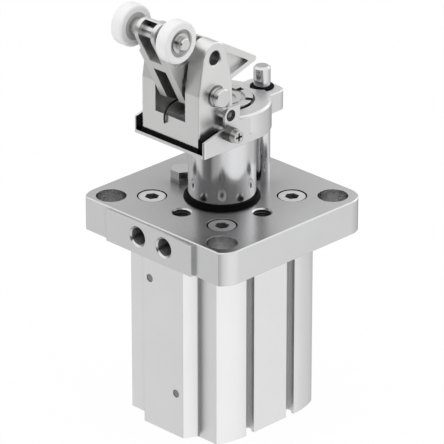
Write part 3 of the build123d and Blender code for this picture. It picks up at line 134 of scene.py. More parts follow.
# Camera, with lens and sensor in mm, and lamps, with places and sizes in metres
CAMERA_PLACE = (1.2916, -1.2916, 0.8472)
CAMERA_AIM = (0.0, 0.0, 0.0029)
CAMERA_LENS = 349.2
CAMERA_SENSOR = 36.0
LAMP_AIM = (0, 0, 0.02)
KEY_PLACE = (1.5, 0.5, 1.3)
KEY_SIZE = 1.6
FILL_PLACE = (-0.6, -1.6, 0.9)
FILL_SIZE = 1.4
TOP_PLACE = (-0.2, 0.2, 1.9)
TOP_SIZE = 1.6
TOP_WATTS = 10.0

# Floor: half its width in metres, its grey, and how much of what the camera sees of it is its own light
FLOOR_HALF = 6
FLOOR_LEVEL = 0.9
FLOOR_GLOW = 0.97

# Light tent: points around, rows and tilt of the last row in degrees; light by turn in degrees, low and high;
# starts and fades as shares of the tent's radius
TENT_AROUND = 96
TENT_ROWS = 61
TENT_TILT = 89
TENT_LOWER = (
    (-180, 0.6), (-165, 0.55), (-150, 0.75), (-135, 0.82), (-120, 0.7), (-108, 0.2), (-84, 0.12), (-74, 0.4),
    (-64, 0.45), (-52, 0.6), (-44, 0.85), (-32, 0.9), (-12, 1.05), (30, 1.0), (40, 0.88), (50, 0.83), (62, 0.7),
    (80, 0.7), (105, 0.35), (150, 0.4), (180, 0.6),
)
TENT_UPPER = (
    (-180, 0.95), (-150, 0.8), (-125, 0.1), (-90, 0.05), (-45, 0.04), (0, 0.1), (20, 0.35), (40, 0.75),
    (60, 1.15), (80, 1.7), (100, 0.9), (135, 0.52), (165, 0.7), (180, 0.9),
)
SIDES_START = -0.08
SIDES_FADE = 0.2
ROOF_START = 0.47
ROOF_FADE = 0.12
ROOF_LIGHT = 1.1


# Shader maths

class Value:
    """A shader socket that takes part in Python expressions; each operation adds a Math node."""

    def __init__(self, tree, socket):
        self.tree = tree
        self.socket = socket

    def _math(self, operation, *terms, clamp=False):
        node = self.tree.nodes.new("ShaderNodeMath")
        node.operation = operation
        node.use_clamp = clamp
        for slot, term in zip(node.inputs, terms):
            if isinstance(term, Value):
                self.tree.links.new(term.socket, slot)
            else:
                slot.default_value = term
        return Value(self.tree, node.outputs[0])

    def __add__(self, other):
        return self._math("ADD", self, other)

    def __radd__(self, other):
        return self._math("ADD", other, self)

    def __sub__(self, other):
        return self._math("SUBTRACT", self, other)

    def __rsub__(self, other):
        return self._math("SUBTRACT", other, self)

    def __mul__(self, other):
        return self._math("MULTIPLY", self, other)

    def __rmul__(self, other):
        return self._math("MULTIPLY", other, self)

    def __truediv__(self, other):
        return self._math("DIVIDE", self, other)

    def __gt__(self, other):
        return self._math("GREATER_THAN", self, other)

    def __abs__(self):
        return self._math("ABSOLUTE", self)

    def atan2(self, other):
        return self._math("ARCTAN2", self, other)

    def highest(self, other):
        return self._math("MAXIMUM", self, other)

    def clamped(self):
        return self._math("ADD", self, 0.0, clamp=True)


class Shade:
    """One node tree with short calls for its nodes."""

    def __init__(self, tree):
        self.tree = tree
        tree.nodes.clear()

    def node(self, kind, settings=None, output=0, **inputs):
        """Adds a node, sets its settings, then its sockets, and gives one of its outputs.

        A socket goes by its name, with _ for a space, or by i and its number.
        """
        node = self.tree.nodes.new(kind)
        for key, value in (settings or {}).items():
            if key == "stops":
                self._stops(node.color_ramp, value)
            else:
                setattr(node, key, value)
        for key, value in inputs.items():
            numbered = key[0] == "i" and key[1:].isdigit()
            slot = node.inputs[int(key[1:]) if numbered else key.replace("_", " ")]
            if isinstance(value, Value):
                self.tree.links.new(value.socket, slot)
            else:
                slot.default_value = value
        return Value(self.tree, node.outputs[output]) if node.outputs else None

    @staticmethod
    def _stops(ramp, stops):
        while len(ramp.elements) < len(stops):
            ramp.elements.new(0.5)
        for element, (place, colour) in zip(ramp.elements, stops):
            element.position = place
            element.color = colour

    def place(self):
        """Object coordinates in metres."""
        return self.node("ShaderNodeTexCoord", output=3)

    def parts(self, vector):
        split = self.tree.nodes.new("ShaderNodeSeparateXYZ")
        self.tree.links.new(vector.socket, split.inputs[0])
        return [Value(self.tree, split.outputs[k]) for k in range(3)]

    def noise(self, vector, scale, detail=2.0, roughness=0.5):
        return self.node("ShaderNodeTexNoise", Vector=vector, Scale=scale, Detail=detail, Roughness=roughness)

    def stretched(self, vector, stretch):
        return self.node("ShaderNodeVectorMath", {"operation": "MULTIPLY"}, i0=vector, i1=stretch)

    def blend(self, share, low, high):
        """Mixes two colours or colour sockets by the share."""
        return self.node("ShaderNodeMix", {"data_type": "RGBA"}, output=2, i0=share, i6=low, i7=high)


# Materials

def grey(level):
    return (level, level, level, 1.0)


def grey_stops(stops):
    """Colour ramp stops from pairs of turn in degrees and light."""
    return [((turn + 180) / 360, grey(light)) for turn, light in stops]


def new_material(name):
    material = bpy.data.materials.new(name)
    material.use_nodes = True
    return material, Shade(material.node_tree)


def close_material(shade, **inputs):
    """Feeds the main shader and the output node."""
    shader = shade.node("ShaderNodeBsdfPrincipled", **inputs)
    shade.node("ShaderNodeOutputMaterial", Surface=shader)


def metal(name, colour, roughness, grain=0.0, grain_scale=2500.0, stretch=(1, 1, 1), tint=0.04, metallic=1.0,
          rim=0.0, edge_highlight=0.0, crevice_shade=0.0, reach=5.0, alone=False, belly_shade=0.0, ends=None, shaded=0.0, above=0.0):
    """A machined metal: cloudy tint, fine grain along one direction, painted edge highlights and corner shade.

    tint is how far the clouds leave the colour, and stretch sets the grain's direction by its smallest number.
    rim is the width in mm of the soft edge, and edge_highlight how strongly the edge is lightened, a painted
    highlight.
    crevice_shade is how dark corners are painted that have walls within reach mm of them, a painted shade. With
    alone, only the piece's own walls count. belly_shade is how much faces that look down are darkened, a painted
    shade, and ends gives a distance in mm from the middle along X beyond which the metal is blackened. shaded is how
    much what stands over the piece, within SHADE_REACH, darkens its faces above the given height, a painted shade.
    """
    material, shade = new_material(name)
    spot = shade.place()
    cloud = shade.noise(spot, 45.0, 3.0)
    lines = shade.noise(shade.stretched(spot, stretch), grain_scale, 2.0, 0.6)
    dark = tuple(c * (1 - 2 * tint) for c in colour)
    light = tuple(min(1.0, c * (1 + 2 * tint)) for c in colour)
    face = shade.blend(cloud, (*dark, 1.0), (*light, 1.0))
    bump = dict(Strength=grain, Distance=GRAIN_DEPTH, Height=lines)
    # Painted shade: corners with walls within reach are darkened towards SHADOW by ambient occlusion.
    if crevice_shade:
        settings = {"samples": SHADE_SAMPLES, "only_local": alone}
        open_share = shade.node("ShaderNodeAmbientOcclusion", settings, output=1, Distance=reach * MM)
        closed = (1.0 - open_share) * crevice_shade
        # Painted shade: faces above the given height are darkened by what stands over them within SHADE_REACH.
        if shaded:
            settings = {"samples": SHADE_SAMPLES}
            far_share = shade.node("ShaderNodeAmbientOcclusion", settings, output=1, Distance=SHADE_REACH)
            closed = closed + (open_share - far_share).clamped() * (shade.parts(spot)[2] > above) * shaded
        face = shade.blend(closed, face, SHADOW)
    # Painted shade: faces that look down are darkened towards SHADOW.
    if belly_shade:
        down = 0.0 - shade.parts(shade.node("ShaderNodeNewGeometry", output=1))[2]
        face = shade.blend(down.clamped() * belly_shade, face, SHADOW)
    if ends:
        face = shade.blend(abs(shade.parts(spot)[0]) > ends * MM, face, BLACKENED)
    # Painted highlight: edges are lightened towards near white; the bevel normal also rounds their shading.
    if rim:
        soft = shade.node("ShaderNodeBevel", {"samples": RIM_SAMPLES}, Radius=rim * MM)
        flat = shade.node("ShaderNodeNewGeometry", output=1)
        turned = shade.node("ShaderNodeVectorMath", {"operation": "DOT_PRODUCT"}, output=1, i0=flat, i1=soft)
        edge = ((1.0 - turned) * RIM_GAIN * (0.5 + cloud)).clamped()
        face = shade.blend(edge * edge_highlight, face, HIGHLIGHT)
        bump["Normal"] = soft
    close_material(
        shade,
        Base_Color=face,
        Metallic=metallic,
        Roughness=(roughness - 0.03 + 0.06 * lines).clamped(),
        Normal=shade.node("ShaderNodeBump", **bump),
    )
    return material


def moulded(name, colour, roughness, grain=0.25, grain_scale=1800.0, subsurface=0.0, specular=0.5):
    """Rubber or moulded plastic with a fine pebbled skin."""
    material, shade = new_material(name)
    spot = shade.place()
    cloud = shade.noise(spot, 60.0, 2.0)
    pebbles = shade.noise(spot, grain_scale, 2.0, 0.5)
    dark = tuple(c * 0.94 for c in colour)
    light = tuple(min(1.0, c * 1.05) for c in colour)
    scatter = dict(Subsurface_Weight=subsurface, Subsurface_Radius=SCATTER_REACH) if subsurface else {}
    close_material(
        shade,
        Base_Color=shade.blend(cloud, (*dark, 1.0), (*light, 1.0)),
        Roughness=(roughness - 0.04 + 0.08 * pebbles).clamped(),
        Normal=shade.node("ShaderNodeBump", Strength=grain, Distance=PEBBLE_DEPTH, Height=pebbles),
        Specular_IOR_Level=specular,
        **scatter,
    )
    return material


def dress(material, *nodes):
    """Gives a material to CAD nodes without touching their meshes."""
    for node in nodes:
        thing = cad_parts[node]
        thing.data.materials.clear()
        thing.data.materials.append(material)


# Meshes

def add_piece(name, points, faces, body, slot, material, smooth=True):
    """Puts worked-out points and faces into a mesh object that rides on a CAD body."""
    mesh = bpy.data.meshes.new(name)
    faces = faces.tolist() if isinstance(faces, np.ndarray) else faces
    mesh.from_pydata(points.reshape(-1, 3).tolist(), [], faces)
    mesh.polygons.foreach_set("use_smooth", np.full(len(mesh.polygons), smooth))
    mesh.materials.append(material)
    mesh.update()
    piece = bpy.data.objects.new(name, mesh)
    bpy.context.scene.collection.objects.link(piece)
    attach(piece, body)
    return piece


def grid_faces(rows, columns, wrap_columns=False, flip=False):
    """Four-sided faces between the points of a rows by columns grid."""
    r = np.arange(rows - 1)[:, None]
    c = np.arange(columns if wrap_columns else columns - 1)[None, :]
    following = (c + 1) % columns
    near, far = r * columns, (r + 1) * columns
    quads = np.stack([near + c, near + following, far + following, far + c], -1).reshape(-1, 4)
    return quads[:, ::-1] if flip else quads


def thread_ridge(radius, height, pitch, length, inward=False, steps=36):
    """A helical ridge on a cylinder along +Z from the origin.

    A point is at angle t and height pitch * t / 2 pi + w, where the profile's four points step w across the pitch
    and the radius goes from just behind the wall's face up to the crest and back. The crest fades in and out over
    half a turn at the ridge's ends. With inward, the ridge stands on the inside of the wall.
    """
    turns = length / pitch
    t = np.linspace(0, turns * 2 * np.pi, max(int(turns * steps), 8))[:, None]
    fade = np.clip(np.minimum(t, t[-1] - t) / np.pi, 0.02, 1.0)
    sign = -1 if inward else 1
    across = np.array([-0.42, -0.08, 0.08, 0.42])[None, :] * pitch
    rise = np.where([True, False, False, True], -0.15 * height, height * fade)
    reach = radius + sign * rise
    z = np.clip(pitch * t / (2 * np.pi) + across, 0, length)
    points = np.stack([reach * np.cos(t), reach * np.sin(t), z], -1)
    ring = 4
    faces = grid_faces(len(t), ring, wrap_columns=True, flip=inward)
    last = (len(t) - 1) * ring
    ends = np.array([[0, 1, 2, 3], [last + 3, last + 2, last + 1, last]])
    if inward:
        ends = ends[:, ::-1]
    return points, np.concatenate([faces, ends])


def swept_bar(x_low, x_high, stations):
    """A closed bar along Y: at each station (y, bottom, top) in mm its section is a box from x_low to x_high."""
    y, bottom, top = np.array(stations).T
    x = np.array([x_low, x_high, x_high, x_low])[None, :] + 0 * y[:, None]
    z = np.stack([bottom, bottom, top, top], -1)
    points = np.stack([x, y[:, None] + 0 * x, z], -1) * MM
    faces = grid_faces(len(stations), 4, wrap_columns=True, flip=True)
    last = 4 * (len(stations) - 1)
    return points, np.concatenate([faces, [[0, 1, 2, 3], [last + 3, last + 2, last + 1, last]]])


def wire(path, radius, side, around=10):
    """A closed round wire along a path of points in mm.

    At each path point a ring lies square to the path: its point at turn a is the path point plus radius times
    (cos a times the side direction, made square to the path, plus sin a times the direction square to both).
    """
    along = np.gradient(path, axis=0)
    along /= np.linalg.norm(along, axis=1, keepdims=True)
    first = np.array(side) - (along @ np.array(side))[:, None] * along
    first /= np.linalg.norm(first, axis=1, keepdims=True)
    second = np.cross(along, first)
    a = np.linspace(0, 2 * np.pi, around + 1)[:-1][None, :, None]
    points = path[:, None, :] + radius * (np.cos(a) * first[:, None, :] + np.sin(a) * second[:, None, :])
    ring = np.arange(around)
    last = (len(path) - 1) * around
    ends = [ring[::-1].tolist(), (last + ring).tolist()]
    return points * MM, grid_faces(len(path), around, wrap_columns=True).tolist() + ends


def bent(start, lift, pull, end, steps=24):
    """Points of the cubic curve that leaves start towards lift and reaches end from pull."""
    t = np.linspace(0, 1, steps)[:, None]
    corners = [np.array(c) for c in (start, lift, pull, end)]
    shares = ((1 - t) ** 3, 3 * t * (1 - t) ** 2, 3 * t ** 2 * (1 - t), t ** 3)
    return sum(share * corner for share, corner in zip(shares, corners))


def aimed(points, origin, direction):
    """Turns points from +Z to the direction and moves them to the origin."""
    turn = np.array(Vector(direction).to_track_quat("Z", "Y").to_matrix())
    return points @ turn.T + np.array(origin)


def many(parts):
    """Joins several point grids and their faces into one set."""
    points, faces, count = [], [], 0
    for grid, quads in parts:
        flat = grid.reshape(-1, 3)
        points.append(flat)
        faces.append(quads + count)
        count += len(flat)
    return np.concatenate(points), np.concatenate(faces)


# Sizes and colours a user would change

class StopperLooks(bpy.types.PropertyGroup):
    aluminium: FloatVectorProperty(name="Aluminium", description="Colour of the anodised aluminium", subtype="COLOR",
                                   default=(0.72, 0.72, 0.725), min=0, max=1)
    barrel: FloatVectorProperty(name="Barrel", description="Colour of the extruded barrel", subtype="COLOR",
                                default=(0.87, 0.87, 0.875), min=0, max=1)
    steel: FloatVectorProperty(name="Steel", description="Colour of the bright steel parts", subtype="COLOR",
                               default=(0.79, 0.79, 0.785), min=0, max=1)
    roller: FloatVectorProperty(name="Rollers", description="Colour of the plastic rollers", subtype="COLOR",
                                default=(0.83, 0.83, 0.83), min=0, max=1)
    metal_roughness: FloatProperty(name="Metal roughness", description="Roughness of the satin metal", default=0.36,
                                   min=0.05, max=1)


class StopperThreads(bpy.types.PropertyGroup):
    port_pitch: FloatProperty(name="Port pitch", description="Pitch of the air port thread", default=0.907 * MM,
                              unit="LENGTH", min=0.3 * MM, max=3 * MM)
    hole_pitch: FloatProperty(name="Hole pitch", description="Pitch of the spare holes' thread", default=1.25 * MM,
                              unit="LENGTH", min=0.3 * MM, max=3 * MM)
    screw_pitch: FloatProperty(name="Screw pitch", description="Pitch of the side screws' thread", default=0.8 * MM,
                               unit="LENGTH", min=0.3 * MM, max=3 * MM)


class StopperStudio(bpy.types.PropertyGroup):
    world_strength: FloatProperty(name="World", description="Strength of the even light", default=0.62, min=0, max=2)
    key_strength: FloatProperty(name="Key", description="Watts of the right hand soft box", default=8.5, min=0)
    fill_strength: FloatProperty(name="Fill", description="Watts of the left hand soft box", default=10.0, min=0)
    tent_radius: FloatProperty(name="Tent radius", description="Radius of the light tent", default=0.7,
                               unit="LENGTH", min=0.2, max=3)


# Operators

class FinishBodyParts(bpy.types.Operator):
    """Give flange, barrel, head parts, end cap and piston anodised and steel finishes, painted shade and highlights
    """
    bl_idname = "stopper.finish_body_parts"
    bl_label = "Finish flange, barrel and head"

    def execute(self, context):
        looks = context.scene.stopper_looks
        alu, steel, rough = tuple(looks.aluminium), tuple(looks.steel), looks.metal_roughness
        flange = metal("flange_satin", alu, roughness=rough - 0.1, grain=0.25, grain_scale=3200.0, tint=0.02,
                       rim=0.25, edge_highlight=0.8, crevice_shade=0.5, reach=4.0, shaded=0.75,
                       above=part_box("flange")[1][2] - TOP_MARGIN)
        plate = metal("plate_satin", tuple(c * PLATE_LIGHTER for c in alu), roughness=rough - 0.04, grain=0.3,
                      grain_scale=2600.0, tint=0.03, rim=0.25, edge_highlight=0.7, crevice_shade=0.4, reach=4.0, belly_shade=0.95)
        barrel = metal("barrel_extruded", tuple(looks.barrel), roughness=0.3, grain=0.35, grain_scale=1500.0,
                       stretch=(1, 1, 0.02), tint=0.015, rim=0.25, edge_highlight=0.6, crevice_shade=0.4, reach=8.0, alone=True)
        fork = metal("fork_steel", steel, roughness=0.34, grain=0.2, grain_scale=1800.0, tint=0.03, rim=0.25,
                     edge_highlight=0.7, crevice_shade=0.55, reach=16.0, alone=True)
        lever = metal("lever_cast", steel, roughness=0.36, grain=0.5, grain_scale=900.0, tint=0.04, rim=0.25,
                      edge_highlight=0.7, crevice_shade=0.35, reach=8.0)
        dress(flange, "flange")
        dress(barrel, "barrel")
        dress(plate, "head_plate")
        dress(fork, "fork")
        dress(lever, "lever")
        nut = metal("nut_steel", steel, roughness=0.3, grain=0.3, grain_scale=1500.0, tint=0.05, rim=0.2, edge_highlight=0.6,
                    crevice_shade=0.8, reach=3.0)
        dress(nut, "end_cap", "piston")
        ring = metal("ring_nut_steel", steel, roughness=0.2, grain=0.3, grain_scale=1500.0, tint=0.06, rim=0.25,
                     edge_highlight=0.8, crevice_shade=0.95, reach=4.0)
        dress(ring, "ring_nut")
        return {"FINISHED"}


class FinishPins(bpy.types.Operator):
    """Give rods, pins, screws, plugs, springs and bushes metal finishes, some with painted shade and highlights"""
    bl_idname = "stopper.finish_pins"
    bl_label = "Finish rods, pins and screws"

    def execute(self, context):
        chrome = metal("hard_chrome", (0.69, 0.69, 0.7), roughness=0.14, grain=0.05, grain_scale=4000.0,
                       stretch=(1, 1, 0.3), tint=0.01)
        bright = metal("bright_pin", (0.7, 0.7, 0.7), roughness=0.24, grain=0.15, grain_scale=2500.0, tint=0.03,
                       crevice_shade=0.6, reach=3.0)
        zinc = metal("zinc_screw", (0.62, 0.62, 0.61), roughness=0.28, grain=0.3, grain_scale=1800.0, tint=0.05,
                     rim=0.15, edge_highlight=0.6, crevice_shade=0.9, reach=2.5)
        black = metal("black_oxide", (0.02, 0.02, 0.021), roughness=0.38, grain=0.3, grain_scale=1800.0, tint=0.1,
                      metallic=0.6)
        socket = metal("socket_screw", (0.72, 0.72, 0.72), roughness=0.42, grain=0.2, grain_scale=1800.0,
                       tint=0.03, crevice_shade=1.0, reach=5.0)
        set_screw = metal("set_screw", (0.75, 0.75, 0.75), roughness=0.3, grain=0.3, grain_scale=1800.0, tint=0.05,
                          ends=SCREW_END)
        spring = metal("spring_wire", (0.05, 0.049, 0.047), roughness=0.32, grain=0.2, grain_scale=2500.0,
                       tint=0.1)
        bronze = metal("bush_bronze", (0.42, 0.28, 0.15), roughness=0.35, grain=0.2, grain_scale=2000.0, tint=0.05)
        dress(chrome, "piston_rod", "guide_rod")
        dress(bright, "pivot_pin", "roller_axle", "axle_spacers", "pivot_washers", "shock_plunger", "shock_tube",
              "shock_bearing", "axle_clips", "stop_screw")
        dress(zinc, "stop_lock_nut", "side_screws", "fork_screws", "pivot_clips")
        dress(set_screw, "ear_screws")
        dress(socket, "clamp_screws")
        plug = metal("plug_steel", (0.3, 0.3, 0.3), roughness=0.3, grain=0.2, grain_scale=1800.0, tint=0.03,
                     rim=0.25, edge_highlight=0.6, crevice_shade=0.95, reach=1.5)
        dress(plug, "duct_plugs")
        dress(black, "end_cap_ring", "piston_nut", "piston_magnet")
        dress(spring, "return_spring", "shock_spring")
        dress(bronze, "rod_bush", "lever_bushes")
        return {"FINISHED"}


class FinishPlastics(bpy.types.Operator):
    """Give rollers, seals and the liner their plastic and rubber finishes"""
    bl_idname = "stopper.finish_plastics"
    bl_label = "Finish rollers and rubber"

    def execute(self, context):
        looks = context.scene.stopper_looks
        plastic = moulded("roller_plastic", tuple(looks.roller), roughness=0.38, grain=0.15, subsurface=0.15)
        hub = moulded("hub_plastic", (0.42, 0.42, 0.41), roughness=0.35, grain=0.15)
        rubber = moulded("black_rubber", (0.003, 0.003, 0.0032), roughness=0.5, grain=0.4, specular=0.03)
        dress(plastic, "roller_left", "roller_right")
        dress(hub, "roller_bush_left", "roller_bush_right")
        dress(rubber, "wiper_ring", "fork_liner", "guide_bush", "upper_bumper", "lower_bumper", "flange_seal",
              "end_cap_seal", "rod_seal", "piston_seals", "piston_guide_ring")
        return {"FINISHED"}


class AddLiner(bpy.types.Operator):
    """Shape the rubber liner, whose sides rise with the tray's walls"""
    bl_idname = "stopper.liner"
    bl_label = "Rubber liner"

    def execute(self, context):
        rubber = bpy.data.materials["black_rubber"]
        parts = (
            swept_bar(-LINER_OUTER, LINER_OUTER, LINER_FRONT),
            swept_bar(-LINER_OUTER, -LINER_INNER, LINER_POST),
            swept_bar(LINER_INNER, LINER_OUTER, LINER_POST),
            swept_bar(-LINER_SKIRT, -LINER_INNER, LINER_SIDE),
            swept_bar(LINER_INNER, LINER_SKIRT, LINER_SIDE),
        )
        liner = add_piece("liner_rubber", *many(parts), "rod_head", "rubber", rubber, smooth=False)
        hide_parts("fork_liner")
        return {"FINISHED"}


class AddReturnSpring(bpy.types.Operator):
    """Wind the return spring round the lever's pivot; its upper leg follows the lever"""
    bl_idname = "stopper.return_spring"
    bl_label = "Return spring"

    def execute(self, context):
        steel = bpy.data.materials["spring_wire"]
        across, (y, z) = SPRING_HALF_WIDTH, SPRING_PIVOT
        turn = np.linspace(0, SPRING_TURNS * 2 * np.pi, SPRING_POINTS)
        x = np.linspace(-across, across, SPRING_POINTS)
        coil = np.stack([x, y + SPRING_RADIUS * np.sin(turn), z - SPRING_RADIUS * np.cos(turn)], -1)
        hook = bent(*[(-across, *spot) for spot in SPRING_HOOK])
        lower = wire(np.concatenate([hook[::-1], coil[1:-SPRING_GLIDE]]), SPRING_WIRE, (1, 0, 0))
        piece = add_piece("spring_coil", *lower, "rod_head", "dark_steel", steel)
        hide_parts("return_spring")
        leg = bent(*[(across, *spot) for spot in SPRING_LEG])
        upper = wire(np.concatenate([coil[-SPRING_GLIDE - 1:-1], leg]), SPRING_WIRE, (1, 0, 0))
        add_piece("spring_leg", *upper, "lever_arm", "dark_steel", steel)
        return {"FINISHED"}


class AddShockSpring(bpy.types.Operator):
    """Wind the shock absorber's spring"""
    bl_idname = "stopper.shock_spring"
    bl_label = "Shock absorber spring"

    def execute(self, context):
        steel = bpy.data.materials["spring_wire"]
        low, high = SHOCK_SPRING_HEIGHTS
        turn = np.linspace(0, SHOCK_SPRING_TURNS * 2 * np.pi, SPRING_POINTS)
        height = np.linspace(low + SHOCK_SPRING_WIRE, high - SHOCK_SPRING_WIRE, SPRING_POINTS)
        path = np.stack([SHOCK_SPRING_RADIUS * np.cos(turn), SHOCK_SPRING_RADIUS * np.sin(turn), height], -1)
        coil = wire(path, SHOCK_SPRING_WIRE, (0, 0, 1))
        piece = add_piece("shock_coil", *coil, "rod_head", "dark_steel", steel)
        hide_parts("shock_spring")
        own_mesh(piece)
        return {"FINISHED"}


class AddSideScrewThreads(bpy.types.Operator):
    """Wind the thread ridges that show on the two side screws"""
    bl_idname = "stopper.side_screw_threads"
    bl_label = "Side screw threads"

    def execute(self, context):
        pitch = context.scene.stopper_threads.screw_pitch
        low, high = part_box("side_screws")
        y, z = (low[1] + high[1]) / 2, (low[2] + high[2]) / 2
        dark = metal("screw_thread", (0.16, 0.16, 0.16), roughness=0.35, grain=0.2, grain_scale=2500.0, tint=0.08)
        parts = []
        for side in (-1, 1):
            points, faces = thread_ridge(SIDE_SCREW_RADIUS, SIDE_SCREW_RIDGE, pitch, SIDE_SCREW_LENGTH)
            parts.append((aimed(points, (side * SIDE_SCREW_START, y, z), (side, 0, 0)), faces))
        add_piece("side_screw_threads", *many(parts), "rod_head", "dark_steel", dark)
        return {"FINISHED"}


class AddPortThreads(bpy.types.Operator):
    """Wind the thread ridges inside the two air ports"""
    bl_idname = "stopper.port_threads"
    bl_label = "Air port threads"

    def execute(self, context):
        pitch = context.scene.stopper_threads.port_pitch
        # Painted shade: the ridges are coloured darker than the aluminium round them, and darkened further in
        # corners.
        shaded_thread = metal("port_thread", (0.4, 0.4, 0.4), roughness=0.3, grain=0.2, grain_scale=2500.0, tint=0.03,
                      crevice_shade=0.85, reach=9.0)
        parts = []
        for x, y, z in PORTS:
            points, faces = thread_ridge(PORT_RADIUS, PORT_RIDGE, pitch, PORT_LENGTH, inward=True, steps=48)
            parts.append((aimed(points, (x, y, z), (0, 1, 0)), faces))
        add_piece("port_threads", *many(parts), "cylinder", "anodised", shaded_thread)
        return {"FINISHED"}


class AddSpareHoleThreads(bpy.types.Operator):
    """Wind the thread ridges inside the flange's two spare holes"""
    bl_idname = "stopper.spare_hole_threads"
    bl_label = "Spare hole threads"

    def execute(self, context):
        pitch = context.scene.stopper_threads.hole_pitch
        # Painted shade: the ridges are coloured darker than the aluminium round them, and darkened further in
        # corners.
        shaded_thread = metal("hole_thread", (0.12, 0.12, 0.12), roughness=0.3, grain=0.2, grain_scale=2500.0, tint=0.03,
                      crevice_shade=0.85, reach=9.0)
        parts = []
        for x, y, z in SPARE_HOLES:
            points, faces = thread_ridge(SPARE_RADIUS, SPARE_RIDGE, pitch, SPARE_LENGTH, inward=True, steps=48)
            parts.append((aimed(points, (x, y, z), (0, 0, -1)), faces))
        add_piece("spare_hole_threads", *many(parts), "cylinder", "anodised", shaded_thread)
        return {"FINISHED"}


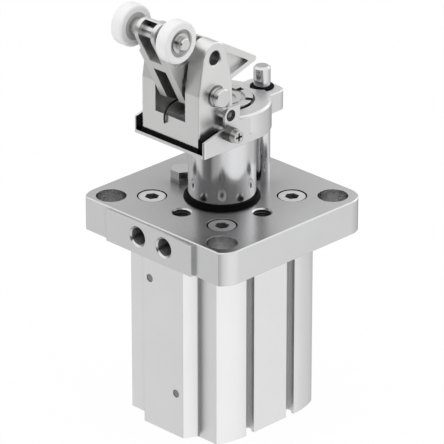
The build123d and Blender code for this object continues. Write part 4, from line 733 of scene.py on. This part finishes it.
class BuildStage(bpy.types.Operator):
    """Set up the floor, light tent, lamps, world and camera"""
    bl_idname = "stopper.stage"
    bl_label = "Studio and camera"

    def execute(self, context):
        studio = context.scene.stopper_studio
        self.floor(CAD_BOX[0][2])
        self.tent(studio.tent_radius)
        self.world(context.scene, studio.world_strength)
        self.lamp("key_box", KEY_PLACE, KEY_SIZE, studio.key_strength)
        self.lamp("fill_box", FILL_PLACE, FILL_SIZE, studio.fill_strength)
        self.lamp("top_box", TOP_PLACE, TOP_SIZE, TOP_WATTS)
        self.camera(context.scene)
        return {"FINISHED"}

    @staticmethod
    def seen_mask(shade):
        """1 for rays from the camera or from a mirror-like or clear surface."""
        path = shade.tree.nodes.new("ShaderNodeLightPath")
        rays = [Value(shade.tree, path.outputs[k]) for k in ("Is Camera Ray", "Is Glossy Ray", "Is Transmission Ray")]
        return rays[0].highest(rays[1]).highest(rays[2])

    def floor(self, height):
        mesh = bpy.data.meshes.new("floor")
        corners = ((-1, -1), (1, -1), (1, 1), (-1, 1))
        mesh.from_pydata([(x * FLOOR_HALF, y * FLOOR_HALF, height) for x, y in corners], [], [(0, 1, 2, 3)])
        material, shade = new_material("floor_paper")
        lit = shade.node("ShaderNodeBsdfDiffuse", Color=grey(FLOOR_LEVEL))
        glow = shade.node("ShaderNodeEmission", Color=grey(1.0), Strength=1.0)
        mixed = shade.node("ShaderNodeMixShader", i0=self.seen_mask(shade) * FLOOR_GLOW, i1=lit, i2=glow)
        shade.node("ShaderNodeOutputMaterial", Surface=mixed)
        mesh.materials.append(material)
        floor = bpy.data.objects.new("floor", mesh)
        bpy.context.scene.collection.objects.link(floor)
        floor.visible_glossy = False

    @staticmethod
    def tent(radius):
        """A ball of light panels that only mirror-like surfaces see.

        Its point at turn a and tilt e is (radius cos e cos a, radius cos e sin a, radius sin e). The panels' light
        is read by turn from one of two ramps, the lower for tilts below the horizon and the upper above it, and
        goes over into the bright roof further up.
        """
        a = np.linspace(0, 2 * np.pi, TENT_AROUND + 1)[:-1]
        e = np.radians(np.linspace(-TENT_TILT, TENT_TILT, TENT_ROWS))[:, None]
        points = radius * np.stack([np.cos(e) * np.cos(a), np.cos(e) * np.sin(a), np.sin(e) + 0 * a], -1)
        mesh = bpy.data.meshes.new("light_tent")
        ring = np.arange(TENT_AROUND)
        poles = [ring[::-1].tolist(), (ring + (TENT_ROWS - 1) * TENT_AROUND).tolist()]
        faces = grid_faces(TENT_ROWS, TENT_AROUND, wrap_columns=True).tolist() + poles
        mesh.from_pydata(points.reshape(-1, 3).tolist(), [], faces)
        material, shade = new_material("tent_panels")
        x, y, z = shade.parts(shade.place())
        turn = (y.atan2(x) * (180 / math.pi) + 180.0) / 360.0
        rise = z / radius
        lower = shade.node("ShaderNodeValToRGB", {"stops": grey_stops(TENT_LOWER)}, Fac=turn)
        upper = shade.node("ShaderNodeValToRGB", {"stops": grey_stops(TENT_UPPER)}, Fac=turn)
        sides = shade.blend(((rise - SIDES_START) / SIDES_FADE).clamped(), lower, upper)
        colour = shade.blend(((rise - ROOF_START) / ROOF_FADE).clamped(), sides, grey(ROOF_LIGHT))
        glow = shade.node("ShaderNodeEmission", Color=colour, Strength=1.0)
        shade.node("ShaderNodeOutputMaterial", Surface=glow)
        mesh.materials.append(material)
        tent = bpy.data.objects.new("light_tent", mesh)
        bpy.context.scene.collection.objects.link(tent)
        for kind in ("camera", "diffuse", "transmission", "volume_scatter", "shadow"):
            setattr(tent, "visible_" + kind, False)

    def world(self, scene, strength):
        world = bpy.data.worlds.new("studio")
        world.use_nodes = True
        scene.world = world
        shade = Shade(world.node_tree)
        even = shade.node("ShaderNodeBackground", Color=grey(1.0), Strength=strength)
        seen = shade.node("ShaderNodeBackground", Color=grey(1.0), Strength=1.0)
        mixed = shade.node("ShaderNodeMixShader", i0=self.seen_mask(shade), i1=even, i2=seen)
        shade.node("ShaderNodeOutputWorld", Surface=mixed)

    @staticmethod
    def lamp(name, place, size, watts):
        light = bpy.data.lights.new(name, "AREA")
        light.shape = "SQUARE"
        light.size = size
        light.energy = watts
        lamp = bpy.data.objects.new(name, light)
        lamp.location = place
        lamp.visible_glossy = False
        lamp.rotation_mode = "QUATERNION"
        lamp.rotation_quaternion = (Vector(place) - Vector(LAMP_AIM)).to_track_quat("Z", "Y")
        bpy.context.scene.collection.objects.link(lamp)

    @staticmethod
    def camera(scene):
        data = bpy.data.cameras.new("camera")
        data.sensor_width = CAMERA_SENSOR
        data.lens = CAMERA_LENS
        camera = bpy.data.objects.new("camera", data)
        camera.location = CAMERA_PLACE
        camera.rotation_mode = "QUATERNION"
        camera.rotation_quaternion = (Vector(CAMERA_PLACE) - Vector(CAMERA_AIM)).to_track_quat("Z", "Y")
        scene.collection.objects.link(camera)
        scene.camera = camera
        scene.view_settings.view_transform = "Standard"


class StopperPanel(bpy.types.Panel):
    """Shows the stopper's settings and the buttons of its steps"""
    bl_idname = "VIEW3D_PT_stopper"
    bl_label = "Stopper"
    bl_space_type = "VIEW_3D"
    bl_region_type = "UI"
    bl_category = "Stopper"

    def draw(self, context):
        for group in (context.scene.stopper_looks, context.scene.stopper_threads, context.scene.stopper_studio):
            for key in group.bl_rna.properties.keys():
                if key not in ("rna_type", "name"):
                    self.layout.prop(group, key)
        for operator in STEPS:
            self.layout.operator(operator.bl_idname)


# The operators in the order in which main() calls them, and every class that is registered

STEPS = (FinishBodyParts, FinishPins, FinishPlastics, AddLiner, AddReturnSpring, AddShockSpring,
         AddSideScrewThreads, AddPortThreads, AddSpareHoleThreads, BuildStage)
CLASSES = (StopperLooks, StopperThreads, StopperStudio, *STEPS, StopperPanel)


def register():
    for item in CLASSES:
        bpy.utils.register_class(item)
    bpy.types.Scene.stopper_looks = PointerProperty(type=StopperLooks)
    bpy.types.Scene.stopper_threads = PointerProperty(type=StopperThreads)
    bpy.types.Scene.stopper_studio = PointerProperty(type=StopperStudio)


def unregister():
    del bpy.types.Scene.stopper_studio
    del bpy.types.Scene.stopper_threads
    del bpy.types.Scene.stopper_looks
    for item in reversed(CLASSES):
        bpy.utils.unregister_class(item)


def main():
    register()
    for step in STEPS:
        group, name = step.bl_idname.split(".")
        getattr(getattr(bpy.ops, group), name)()


if __name__ == "__main__":
    main()
